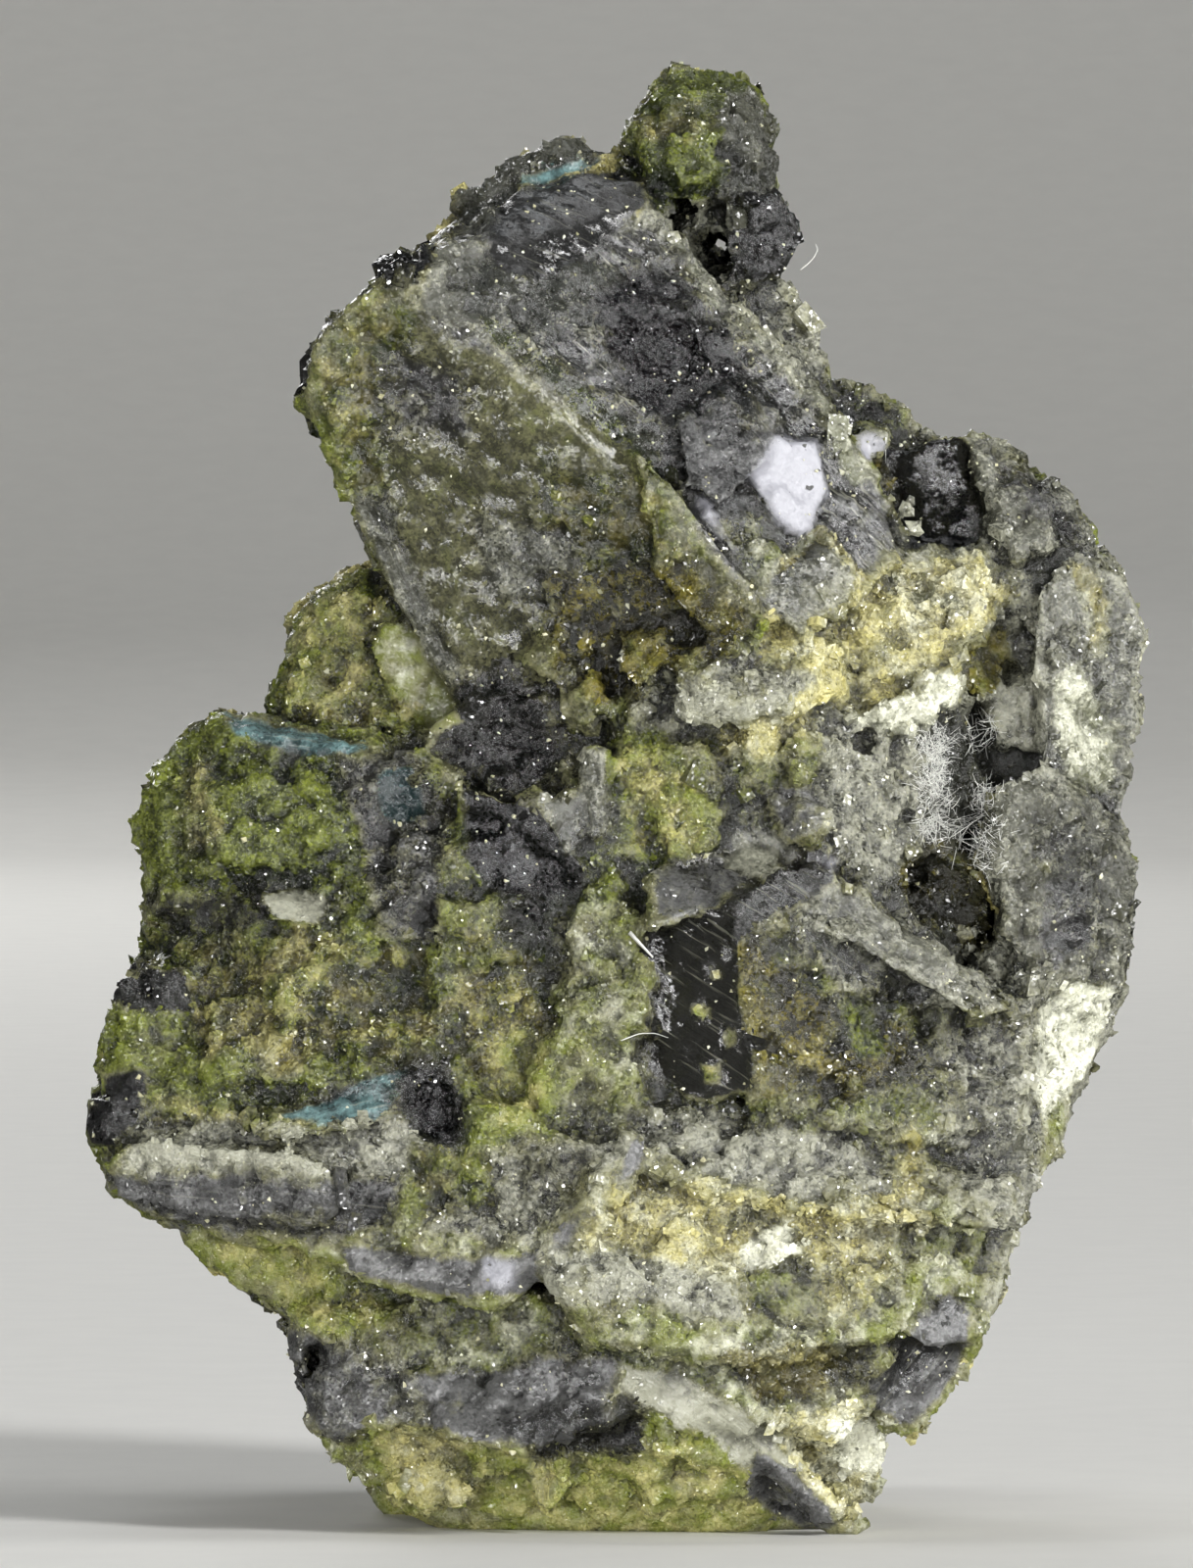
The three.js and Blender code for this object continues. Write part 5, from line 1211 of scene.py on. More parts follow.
@once
def tint_group():
    """Breaks each finish up into patches as large as its share, each from its dark to its light colour."""
    colours = bpy.context.scene.epidote_colours
    inputs = [("Fleck", FLOAT, 0.5), ("Place", VECTOR, None)]
    inputs += [("Patch scale", FLOAT, 3.0), ("Patchiness", FLOAT, 1.1)]
    for name in (UNDER, *FINISHES):
        for tone in TONES:
            inputs.append((f"{name} {tone}", COLOUR, solid(getattr(colours, f"{name}_{tone}"))))
    group, start, end = new_group("Mineral tint", inputs, [("Color", COLOUR, None)])
    wire = Wiring(group)
    noises = []
    for scale in (1.0, 1.7):
        fine = wire.times(start.outputs["Patch scale"], scale)
        noises += wire.parts(wire.noise(start.outputs["Place"], fine, 5.0, 0.6)["Color"])[:]
    mixed = [start.outputs[f"{UNDER} {tone}"] for tone in TONES]
    for (name, share), patch in zip(wire.finish_shares().items(), PATCHES):
        shift = wire.times(wire.math("SUBTRACT", noises[patch], 0.5), start.outputs["Patchiness"])
        sharp = wire.ramp(wire.math("ADD", share, shift), 0.25, 0.75)
        seen = wire.times(sharp, wire.ramp(share, 0.0, 0.12))
        pair = [start.outputs[f"{name} {tone}"] for tone in TONES]
        mixed = [wire.blend(seen, under, over) for under, over in zip(mixed, pair)]
    wire.feed(wire.blend(start.outputs["Fleck"], *mixed), end.inputs["Color"])
    return group


@once
def facet_group():
    """Tiny tilted crystal facets: a fleck value for each one, and the normal that it turns to."""
    group, start, end = new_group(
        "Crystal facets",
        [("Place", VECTOR, None), ("Size", FLOAT, 0.08), ("Tilt", FLOAT, 0.4)],
        [("Fleck", FLOAT, None), ("Normal", VECTOR, None)],
    )
    wire = Wiring(group)
    scale = wire.math("DIVIDE", 1.0, start.outputs["Size"])
    draw = wire.cells(start.outputs["Place"], scale)["Color"]
    tilt = wire.times(start.outputs["Tilt"], 2.0)
    leaning = wire.vector("SCALE", wire.vector("SUBTRACT", draw, MIDDLE), tilt)
    plain = wire.add("ShaderNodeNewGeometry").outputs["Normal"]
    wire.feed(wire.parts(draw)[0], end.inputs["Fleck"])
    wire.feed(wire.unit(wire.vector("ADD", plain, leaning)), end.inputs["Normal"])
    return group


# The refractive index of epidote
EPIDOTE_IOR = 1.74


def solid(shade):
    """A colour with its alpha, as sockets take it."""
    return (*shade, 1)


def new_material(name, ior=EPIDOTE_IOR):
    material = bpy.data.materials.new(name)
    material.use_nodes = True
    shader = material.node_tree.nodes["Principled BSDF"]
    shader.inputs["IOR"].default_value = ior
    return material, Wiring(material.node_tree), shader


# How much shade and tone lighten a fleck and a hollow darkens it as painted shade, and how strongly flecks
# contrast
FLECK_SHADE = 0.2
FLECK_TONE = 0.5
FLECK_HOLLOW_SHADE = -0.28
FLECK_CONTRAST = 1.65


def speckled(wire, parts, shade, tone, hollow):
    """How light each fleck is: random from facet to facet, and darker in hollows, as painted shade."""
    fleck = wire.times(shade, FLECK_SHADE)
    for part, share in parts:
        fleck = wire.times_plus(part, share, fleck)
    fleck = wire.times_plus(fleck, FLECK_CONTRAST, -0.5)
    fleck = wire.times_plus(tone, FLECK_TONE, fleck)
    return wire.times_plus(hollow, FLECK_HOLLOW_SHADE, fleck, clamp=True)


# How much less rough the minerals are that shine most
SHINE = {"stone": -0.25, "plum": -0.35, "jet": -0.5}


def glossiness(wire):
    """How much of the surface's roughness is left on the dark and grey minerals, which shine most."""
    share = wire.finish_shares()
    left = 1.0
    for name, less in SHINE.items():
        left = wire.times_plus(share[name], less, left, clamp=True)
    return left


# How many times finer the streaks are across than along
STREAK_FINENESS = 19.0


def streaks(wire):
    """Fine uneven lines along the striated faces, around 0, and how strong they are."""
    across, along, strength = wire.parts(wire.kept("streak").outputs["Color"])
    drawn = wire.add("ShaderNodeCombineXYZ", {0: wire.times(across, STREAK_FINENESS), 1: along}).outputs[0]
    return wire.math("SUBTRACT", wire.noise(drawn, 1.0, 3.0)[0], 0.5), strength


@once
def cloud_group():
    """Soft light and dark patches, broken up finely."""
    inputs = [("Place", VECTOR, None), ("Scale", FLOAT, 3.2)]
    group, start, end = new_group("Clouds", inputs, [("Patch", FLOAT, None)])
    wire = Wiring(group)
    cloud = wire.noise(start.outputs["Place"], start.outputs["Scale"], 7.0, 0.66)[0]
    wire.feed(wire.ramp(cloud, 0.32, 0.68), end.inputs["Patch"])
    return group


@once
def pore_group():
    """Small round pores of uneven size in the pale and yellow crust, 1 inside one."""
    inputs = [("Place", VECTOR, None), ("Scale", FLOAT, 3.4)]
    group, start, end = new_group("Pores", inputs, [("Pore", FLOAT, None)])
    wire = Wiring(group)
    cells = wire.cells(start.outputs["Place"], start.outputs["Scale"])
    draw = wire.parts(cells["Color"])[0]
    reach = wire.times_plus(wire.math("POWER", draw, 3.0), 0.2, 0.04)
    pore = wire.ramp(cells["Distance"], wire.times(reach, 0.6), reach, 1.0, 0.0)
    share = wire.finish_shares()
    pale = wire.math("ADD", share["mustard"], share["cream"])
    pale = wire.times_plus(share["stone"], 0.5, pale, clamp=True)
    wire.feed(wire.times(pore, pale), end.inputs["Pore"])
    return group


# Sizes of the tiny facets of the crystal faces, in millimetres, and how fine the grit on them is
COARSE_FACET = 0.1
FINE_FACET = 0.036
GRIT_SCALE = 22.0

# How much painted shade darkens broad hollows, and how much of the tint a pore takes
BROAD_SHADE = -0.22
PORE_COVER = 0.85


def body_fleck(wire, parts, streak):
    """How light each fleck of the body is: even on flat faces, darker in hollows as painted shade, lighter
    on ridges.
    """
    tone = wire.kept_value("tone")
    fleck = speckled(wire, parts, wire.kept_value("shade"), tone, wire.kept_value("hollow"))
    even = wire.times_plus(tone, 0.5, 0.36)
    evened = wire.times(wire.kept_value("flat"), 0.45)
    fleck = wire.times_plus(wire.math("SUBTRACT", even, fleck), evened, fleck)
    fleck = wire.times_plus(wire.kept_value("broad"), BROAD_SHADE, fleck)
    fleck = wire.times_plus(wire.kept_value("crest"), 0.08, fleck)
    return wire.times_plus(streak, 0.7, fleck, clamp=True)


def hollow_shade(wire):
    """A grey that darkens hollows as painted shade, less so in the yellow and the pale crust."""
    share = wire.finish_shares()
    least = wire.times_plus(wire.math("ADD", share["mustard"], share["cream"]), 0.35, 0.35)
    dark = wire.ramp(wire.kept_value("hollow"), 0.0, 0.85, 1.0, least)
    return wire.add("ShaderNodeCombineColor", {0: dark, 1: dark, 2: dark}).outputs[0]


def with_pores(wire, tint, place, cover):
    """The tint, with pores in the pale and yellow crust: flat dark brown spots, painted shade for the depth
    of each pore.
    """
    pore = wire.times(wire.group(pore_group(), {"Place": place}).outputs["Pore"], cover)
    return wire.blend(pore, tint, solid(bpy.context.scene.epidote_colours.rust_dark))


def body_material():
    colours = bpy.context.scene.epidote_colours
    material, wire, shader = new_material("Mottled epidote")
    place = wire.group(millimetre_group(), {"Bend": 0.06}).outputs["Place"]
    crust = wire.math("SUBTRACT", 1.0, wire.kept_value("flat"))
    satin_and_glint = wire.kept_value("satin_and_glint")
    coarse_tilt = wire.times_plus(crust, 0.35, 0.04)
    fine_tilt = wire.times_plus(crust, 0.65, 0.12)
    coarse = wire.group(facet_group(), {"Place": place, "Size": COARSE_FACET, "Tilt": coarse_tilt}).outputs
    fine = wire.group(facet_group(), {"Place": place, "Size": FINE_FACET, "Tilt": fine_tilt}).outputs
    patch = wire.group(cloud_group(), {"Place": place}).outputs["Patch"]
    line, strength = streaks(wire)

    parts = ((fine["Fleck"], 0.3), (coarse["Fleck"], 0.15), (patch, 0.35))
    fleck = body_fleck(wire, parts, wire.times(line, strength))
    tint = wire.group(tint_group(), {"Fleck": fleck, "Place": place}).outputs["Color"]
    # Painted shade: a grey multiplied into the tint in hollows
    tint = wire.blend(1.0, tint, hollow_shade(wire), "MULTIPLY")
    tint = with_pores(wire, tint, place, wire.times(crust, PORE_COVER))
    # Painted highlight: bright lines along the streaks of striated faces, as glints of their fine ribs
    bright = wire.times(wire.ramp(line, 0.08, 0.2, 0.0, 0.4), strength, clamp=True)
    tint = wire.blend(bright, tint, solid(colours.stone_light))
    # Painted highlight: mirror faces whitened towards a pale tone
    tint = wire.blend(wire.times(satin_and_glint, 0.8), tint, solid(colours.painted_glint))
    wire.feed(tint, shader.inputs["Base Color"])

    rough = wire.times_plus(crust, 0.14, 0.2)
    rough = wire.times(rough, wire.ramp(fine["Fleck"], 0.65, 0.8, 1.0, 0.4))
    rough = wire.times(rough, glossiness(wire))
    wire.feed(wire.times_plus(satin_and_glint, 0.3, rough), shader.inputs["Roughness"])

    normal = wire.unit(wire.vector("ADD", coarse["Normal"], fine["Normal"]))
    gritty = wire.times_plus(crust, 0.55, 0.1)
    lined = wire.times(strength, 0.6)
    grit = wire.noise(place, GRIT_SCALE, 5.0, 0.7)[0]
    for height, share, distance in ((grit, gritty, 0.05), (line, lined, 0.03)):
        values = {"Height": height, "Strength": share, "Distance": distance * MM, "Normal": normal}
        normal = wire.add("ShaderNodeBump", values).outputs[0]
    wire.feed(normal, shader.inputs["Normal"])
    return material


def grain_material(name, roughness):
    """Small crystals: each has its own tone, with the finishes of the place that it grows at."""
    material, wire, shader = new_material(name)
    place = wire.group(millimetre_group(), {"Bend": 0.03}).outputs["Place"]
    facets = wire.group(facet_group(), {"Place": place, "Size": FINE_FACET, "Tilt": 0.4}).outputs
    patch = wire.group(cloud_group(), {"Place": place}).outputs["Patch"]
    parts = ((facets["Fleck"], 0.25), (wire.kept_value("shade"), 0.4), (patch, 0.2))
    # Grains take painted shade from the small and broad hollows at their roots
    fleck = speckled(wire, parts, 0.5, wire.kept_value("tone"), wire.kept_value("hollow"))
    fleck = wire.times_plus(wire.kept_value("broad"), BROAD_SHADE, fleck, clamp=True)
    tint = wire.group(tint_group(), {"Fleck": fleck, "Place": place}).outputs["Color"]
    wire.feed(with_pores(wire, tint, place, PORE_COVER), shader.inputs["Base Color"])
    rough = wire.ramp(facets["Fleck"], 0.6, 0.8, roughness + 0.22, roughness)
    wire.feed(wire.times(rough, glossiness(wire)), shader.inputs["Roughness"])
    wire.feed(facets["Normal"], shader.inputs["Normal"])
    return material


def speck_material():
    """Tiny specks, from the yellow of the crust to nearly white."""
    material, wire, shader = new_material("bright specks")
    place = wire.group(millimetre_group(), {"Bend": 0.0}).outputs["Place"]
    colours = bpy.context.scene.epidote_colours
    share = wire.ramp(wire.noise(place, 5.0)[0], 0.35, 0.65)
    tint = wire.blend(share, solid(colours.speck), solid(colours.cream_light))
    tint = wire.blend(wire.kept_value("shade"), solid(colours.ground_light), tint)
    wire.feed(tint, shader.inputs["Base Color"])
    shader.inputs["Roughness"].default_value = 0.3
    return material


def hull_shape(points):
    """Vertices and triangles of the convex hull of a few points."""
    form = bmesh.new()
    for point in points:
        form.verts.new(point)
    bmesh.ops.convex_hull(form, input=form.verts)
    loose = [vert for vert in form.verts if not vert.link_faces]
    bmesh.ops.delete(form, geom=loose, context="VERTS")
    bmesh.ops.triangulate(form, faces=form.faces)
    form.verts.index_update()
    places = np.array([vert.co for vert in form.verts])
    corners = np.array([[vert.index for vert in face.verts] for face in form.faces])
    form.free()
    return places, corners


# The grains' shapes are about 1 in radius. A facet has this many corners, and its root reaches this deep.
FACET_CORNERS = 5
FACET_ROOT = 0.9


def flush_facet(draws):
    """A small flat facet with its root pointing into the body."""
    count = FACET_CORNERS
    turn = (np.arange(count) + draws.uniform(-0.3, 0.3, count)) * 2 * math.pi / count
    reach = draws.uniform(0.75, 1.15, count)
    height = draws.uniform(-0.08, 0.08, count)
    rim = np.stack([reach * np.cos(turn), reach * np.sin(turn), height], axis=1)
    return hull_shape(np.vstack([rim, (0, 0, -FACET_ROOT)]))


def pointed_grain(draws):
    """A small pointed grain with eight faces."""
    points = np.array([(1, 0, 0), (-1, 0, 0), (0, 1, 0), (0, -1, 0), (0, 0, 1), (0, 0, -1)], float)
    return hull_shape(points * draws.uniform(0.7, 1.15, (6, 1)) + draws.uniform(-0.25, 0.25, (6, 3)))


def broken_block(draws):
    """An uneven block with flat broken faces."""
    points = np.array(list(itertools.product((-1, 1), (-0.8, 0.8), (-0.6, 0.6))))
    return hull_shape(points * draws.uniform(0.7, 1.0, (8, 3)) + draws.uniform(-0.08, 0.08, (8, 3)))


def stub_prism(draws):
    """A stubby epidote prism: a flattened six-sided section with chisel ends."""
    section = np.array([(1, 0), (0.45, 0.6), (-0.55, 0.6), (-1, 0), (-0.45, -0.6), (0.55, -0.6)]) * 0.7
    half = draws.uniform(1.1, 1.8)
    points = [(side * half * (1 - 0.3 * side * x), x, y) for side in (-1, 1) for x, y in section]
    return hull_shape(np.array(points) * (1, 1, draws.uniform(0.7, 1.1)))


def leaning_turns(draws, normals, lean):
    """Rotation matrices that stand a grain's own top along the normal, but for a random lean."""
    up = normals + draws.normal(size=normals.shape) * lean[:, None]
    up /= np.linalg.norm(up, axis=1, keepdims=True)
    side = np.cross(up, draws.normal(size=normals.shape))
    side /= np.linalg.norm(side, axis=1, keepdims=True)
    return np.stack([side, np.cross(up, side), up], axis=2)


class Ground:
    """The body's surface, for crystals to grow on."""

    def __init__(self):
        mesh = bpy.data.objects["cluster_body"].data
        self.places = vertex_places(mesh) / MM
        self.corners = triangle_corners(mesh)
        self.zones = kept_shares(mesh)
        self.shares = dict(zip(FINISHES, self.zones.T))
        self.flat = kept_values(mesh, "flat")
        self.hollow = kept_values(mesh, "hollow")
        self.tone = kept_values(mesh, "tone")
        self.broad = kept_values(mesh, "broad")
        a, b, c = (self.places[self.corners[:, i]] for i in range(3))
        self.areas = np.linalg.norm(np.cross(b - a, c - a), axis=1) / 2
        self.lifted = soft_normals(self.places, self.corners)
        self.near = facing_near(self.places, self.lifted)

    def liking(self, base, weights):
        """How much a kind of grain likes each place, by the finishes there."""
        return weighted(self.shares, weights, base)

    def spots(self, draws, count, density):
        """Random places, spread by area times density at the vertices."""
        weight = self.areas * density[self.corners].mean(axis=1)
        weight *= self.places[self.corners[:, 0], 2] > LOW[2] + FOOT_CLEAR
        chosen = draws.choice(len(weight), size=count, p=weight / weight.sum())
        share = draws.random((count, 2))
        share = np.where(share.sum(axis=1, keepdims=True) > 1, 1 - share, share)
        a, b, c = (self.places[self.corners[chosen, i]] for i in range(3))
        spots = a + (b - a) * share[:, :1] + (c - a) * share[:, 1:]
        first = self.corners[chosen, 0]
        return spots, self.lifted[first], first


def grain_layout(mesh, grains, corners_each):
    """Lays each grain out in a small square of its own for texture baking."""
    rows = math.ceil(math.sqrt(grains))
    cell = np.repeat(np.arange(grains), corners_each)
    base = np.stack([cell % rows, cell // rows], axis=1)[:, None, :]
    spots = (base + np.array([(0.2, 0.2), (0.8, 0.2), (0.5, 0.8)])) / rows
    layer = mesh.uv_layers.new(name="OFBake")
    layer.data.foreach_set("uv", spots.astype(np.float32).ravel())


# Each piece has this many different shapes. A grain is stretched by this much, its radius is this many
# times the usual one at most, and it leans less on flat faces by this.
SHAPE_KINDS = 12
STRETCH = (0.75, 1.3)
LARGEST = 2.2
FLAT_CALM = 0.75


def grown(name, material, ground, draws, plan):
    """One piece of many small crystals, each partly sunk in the body."""
    spots, normals, first = ground.spots(draws, plan["count"], plan["density"])
    radius = plan["radius"] * np.exp(draws.normal(0, plan["spread"], len(spots)))
    radius = np.minimum(radius, plan["radius"] * LARGEST)
    radius *= 1 + plan["behind"] * (1 - ground.near[first])
    shapes = [plan["shape"](draws) for _ in range(SHAPE_KINDS)]
    kind = draws.integers(0, len(shapes), len(spots))
    turns = leaning_turns(draws, normals, plan["lean"] * (1 - FLAT_CALM * ground.flat[first]))
    stretch = draws.uniform(*STRETCH, (len(spots), 3))
    middle = spots + normals * (plan["rise"] * radius)[:, None]
    parts, faces, owners, counts = [], [], [], []
    offset = 0
    for index, (shape, corners) in enumerate(shapes):
        chosen = np.nonzero(kind == index)[0]
        formed = shape[None] * stretch[chosen, None] * radius[chosen, None, None]
        placed = np.einsum("nij,nkj->nki", turns[chosen], formed) + middle[chosen, None]
        parts.append(placed.reshape(-1, 3))
        starts = offset + np.arange(len(chosen)) * len(shape)
        faces.append((corners[None] + starts[:, None, None]).reshape(-1, 3))
        owners.append(np.repeat(chosen, len(shape)))
        counts.append(np.full(len(chosen), len(corners)))
        offset += len(chosen) * len(shape)
    mesh = mesh_from(name, held_in(np.concatenate(parts)), np.concatenate(faces))
    root = first[np.concatenate(owners)]
    shade = np.clip(draws.normal(0.5, plan["contrast"], len(spots)), 0, 1)
    keep_shares(mesh, ground.zones[root])
    keep_values(mesh, "tone", ground.tone[root])
    # The hollows at each grain's root, which its material darkens as painted shade
    keep_values(mesh, "hollow", ground.hollow[root])
    keep_values(mesh, "broad", ground.broad[root])
    keep_values(mesh, "shade", shade[np.concatenate(owners)])
    grain_layout(mesh, len(spots), np.concatenate(counts))
    mesh.shade_flat()
    shown(name, mesh, material)


def grown_kinds(ground, draws, plans, roughness, habit):
    """One piece for each plan: name, density, count, radius, shape, rise over the surface, and lean."""
    for name, density, count, radius, shape, rise, lean in plans:
        plan = {"density": density, "count": count, "radius": radius, "shape": shape, "rise": rise}
        specks = name == "bright_specks"
        material = speck_material() if specks else grain_material(name.replace("_", " "), roughness)
        grown(name, material, ground, draws, {**plan, **habit, "lean": lean})


# How much grains of the crust and small crystals vary in size and tone, how much larger they are behind,
# and how rough their glossiest facets are
CRUST_HABIT = {"spread": 0.45, "behind": 0.7, "contrast": 0.2}
CRUST_ROUGHNESS = 0.14
CRYSTAL_HABIT = {"spread": 0.4, "behind": 0.4, "contrast": 0.22}
CRYSTAL_ROUGHNESS = 0.12

# How much each kind of grain likes every place, and how much more it likes each finish
GREEN = (0.2, {"moss": 1.0, "rust": 0.3})
YELLOW = (0.0, {"mustard": 1.0, "cream": 0.8, "rust": 0.3})
GREY = (0.3, {"stone": 1.0, "plum": 1.0, "jet": 1.0})
SPECKED = (0.35, {"jet": 0.3, "plum": 0.5})
BLOCKY = (0.3, {"stone": 1.0, "jet": 1.0, "plum": 1.0})
PRISMATIC = (0.3, {"moss": 1.0, "rust": 1.0, "stone": 1.0})


class EPIDOTE_OT_grow_crust(bpy.types.Operator):
    """Grows the crust: thousands of small flush facets, each glinting its own way, with grains between"""

    bl_idname = "epidote.grow_crust"
    bl_label = "Sparkling crust"

    def execute(self, context):
        sizes = context.scene.epidote_sizes
        ground = Ground()
        draws = np.random.default_rng(SEED)
        crust = (1 - ground.flat) ** 1.2 + 0.02
        toward = 0.42 + 0.58 * ground.near
        green = ground.liking(*GREEN) * crust * toward
        yellow = ground.liking(*YELLOW) * crust * toward + 0.002
        grey = ground.liking(*GREY) * crust * toward
        drifts = eased(layered_noise(ground.places, 0.9, seeded("specks")), -0.3, 0.4)
        specked = toward * ground.liking(*SPECKED) * drifts
        facet, grain = sizes.facet / MM, sizes.grain / MM
        plans = (
            ("green_facets", green, 18000, facet * 0.9, flush_facet, -0.1, 0.25),
            ("grey_facets", grey, 18000, facet * 0.9, flush_facet, -0.1, 0.25),
            ("yellow_facets", yellow, 10000, facet, flush_facet, -0.05, 0.3),
            ("yellow_grains", yellow, 8000, grain, broken_block, -0.45, 0.8),
            ("sugar_grains", crust * toward, 16000, grain * 0.55, pointed_grain, -0.35, 2.0),
            ("bright_specks", specked, 2800, sizes.speck / MM, pointed_grain, -0.1, 2.0),
        )
        grown_kinds(ground, draws, plans, CRUST_ROUGHNESS, CRUST_HABIT)
        return {"FINISHED"}


# Where the dark knob sits on the rim of the large crystal, [across, up], and how far it reaches
RIM_KNOB = (-2.36, 12.74)
RIM_KNOB_REACH = 0.26


class EPIDOTE_OT_grow_crystals(bpy.types.Operator):
    """Grows small blocky crystals and stubby prisms out of the crust"""

    bl_idname = "epidote.grow_crystals"
    bl_label = "Small crystals"

    def execute(self, context):
        sizes = context.scene.epidote_sizes
        ground = Ground()
        draws = np.random.default_rng(SEED + 1)
        crust = (1 - ground.flat) ** 1.5 + 0.01
        toward = 0.5 + 0.5 * ground.near
        edges = 0.4 + np.clip(-ground.hollow, 0, 1)
        blocks = ground.liking(*BLOCKY) * crust * toward * edges
        prisms = ground.liking(*PRISMATIC) * crust * toward
        block = sizes.block / MM
        away = np.linalg.norm(on_grid(ground.places) - RIM_KNOB, axis=1)
        knob = eased(-away, -RIM_KNOB_REACH, 0.0) * (ground.near > 0.05)
        plans = (
            ("blocky_crystals", blocks, 1400, block, broken_block, -0.5, 0.25),
            ("stub_prisms", prisms, 800, block * 0.7, stub_prism, -0.5, 0.25),
            ("rim_knob", knob, 130, block * 0.9, broken_block, 0.35, 0.4),
        )
        grown_kinds(ground, draws, plans, CRYSTAL_ROUGHNESS, CRYSTAL_HABIT)
        return {"FINISHED"}


# Tufts of fibres: [across, up], spread round that place, how many, and length in millimetres
TUFTS = (
    ((3.1, 7.95), 0.16, 330, 0.2),
    ((3.1, 7.7), 0.16, 330, 0.2),
    ((3.1, 7.42), 0.16, 330, 0.2),
    ((3.1, 7.1), 0.16, 200, 0.28),
    ((3.64, 7.35), 0.16, 250, 0.2),
    ((3.66, 7.05), 0.16, 330, 0.2),
    ((3.68, 6.75), 0.16, 300, 0.2),
    ((3.4, 7.0), 0.2, 120, 0.4),
    ((3.6, 8.0), 0.2, 120, 0.26),
)
FIBRE_STEPS = 5
FIBRE_BEND = 0.15
FIBRE_IOR = 1.5

# A fibre's root strays this many millimetres. Its way is partly the surface's normal, mostly at random,
# and a little towards the near side.
FIBRE_STRAY = 0.05
FIBRE_LIFT = 0.25
FIBRE_RANDOM = 0.6
FIBRE_TOWARD = (0, -0.1, 0)

# How thin the end of a fibre is for its root, and a way that no fibre runs along
FIBRE_TIP = 0.35
TUBE_ASIDE = (0.31, 0.52, 0.8)

# Fibres and lint lie where the surface looks to the near side by more than this
FACING = 0.3

# Lint that lies on the near side: radius in millimetres, and [across, up, how far off the surface]
LINT = (
    (0.04, ((0.05, 6.07, 0.0), (0.28, 5.82, 0.0))),
    (0.011, ((-0.04, 4.99, 0.0), (0.14, 5.06, 0.03), (0.3, 5.06, 0.03), (0.43, 5.01, 0.0))),
    (0.009, ((2.65, 11.0, 0.0), (2.65, 10.75, 0.0))),
)

# How many of the nearest points of the surface a thread rests on, and how finely its path is rounded
LINT_REST = 12
LINT_ROUNDING = 4

# A curled hair that stands off the dark block: where it is rooted, and its steps [across, toward, up]
HAIR_ROOT = (1.78, 12.7)
HAIR_STEPS = ((0, 0, 0), (0.08, 0.05, 0.06), (0.18, 0.08, 0.16), (0.24, 0.08, 0.28), (0.2, 0.06, 0.36))
HAIR_RADIUS = 0.009


def fibre_tube(path, radius):
    """A thin three-sided tube along a few places, thinner at its end."""
    run = np.gradient(path, axis=0)
    run /= np.linalg.norm(run, axis=1, keepdims=True)
    side = np.cross(run, TUBE_ASIDE)
    side /= np.linalg.norm(side, axis=1, keepdims=True)
    over = np.cross(run, side)
    taper = np.linspace(1, FIBRE_TIP, len(path))[:, None] * radius
    angles = np.arange(3) * 2 * math.pi / 3
    rings = [path + taper * (math.cos(angle) * side + math.sin(angle) * over) for angle in angles]
    places = np.stack(rings, axis=1).reshape(-1, 3)
    corners = []
    for step in range(len(path) - 1):
        for i in range(3):
            a, b = step * 3 + i, step * 3 + (i + 1) % 3
            corners += [(a, b, b + 3), (a, b + 3, a + 3)]
    last = 3 * (len(path) - 1)
    corners += [(0, 2, 1), (last, last + 1, last + 2)]
    return places, np.array(corners)


def fibre_material(name, dullness):
    material, wire, shader = new_material(name, FIBRE_IOR)
    place = wire.group(millimetre_group()).outputs["Place"]
    colours = bpy.context.scene.epidote_colours
    dull = wire.ramp(wire.noise(place, 4.0)[0], 0.3, 0.8, 0.0, dullness)
    tint = wire.blend(dull, solid(colours.fibre), solid(colours.cream_dark))
    wire.feed(tint, shader.inputs["Base Color"])
    shader.inputs["Roughness"].default_value = 0.35
    return material


def shown_tubes(name, tubes, material):
    """One piece of many thin tubes: each is a path and a radius."""
    places, corners = [], []
    offset = 0
    for path, radius in tubes:
        tube_places, tube_corners = fibre_tube(path, radius)
        places.append(tube_places)
        corners.append(tube_corners + offset)
        offset += len(tube_places)
    mesh = mesh_from(name, held_in(np.concatenate(places)), np.concatenate(corners))
    grain_layout(mesh, len(corners), np.array([len(part) for part in corners]))
    shown(name, mesh, material)


class EPIDOTE_OT_grow_fibres(bpy.types.Operator):
    """Grows the tufts of fine pale fibres round the cavity on the right"""

    bl_idname = "epidote.grow_fibres"
    bl_label = "Pale fibres"

    def execute(self, context):
        radius = context.scene.epidote_sizes.fibre / MM
        ground = Ground()
        draws = np.random.default_rng(SEED + 2)
        spots = on_grid(ground.places)
        outward = np.nonzero(ground.near > FACING)[0]
        share = np.linspace(0, 1, FIBRE_STEPS)[:, None]
        tubes = []
        for middle, spread, count, reach in TUFTS:
            close = outward[np.linalg.norm(spots[outward] - middle, axis=1) < spread]
            for root in draws.choice(close, count):
                start = ground.places[root] + draws.normal(0, FIBRE_STRAY, 3)
                way = ground.lifted[root] * FIBRE_LIFT + draws.normal(0, FIBRE_RANDOM, 3) + FIBRE_TOWARD
                way /= np.linalg.norm(way)
                bend = FIBRE_BEND * np.cross(way, draws.normal(0, 1, 3))
                path = start + reach * draws.uniform(0.5, 1.2) * (way * share + bend * share**2)
                tubes.append((path, radius * draws.uniform(0.7, 1.3)))
        shown_tubes("pale_fibres", tubes, fibre_material("Pale fibre", 0.05))
        return {"FINISHED"}


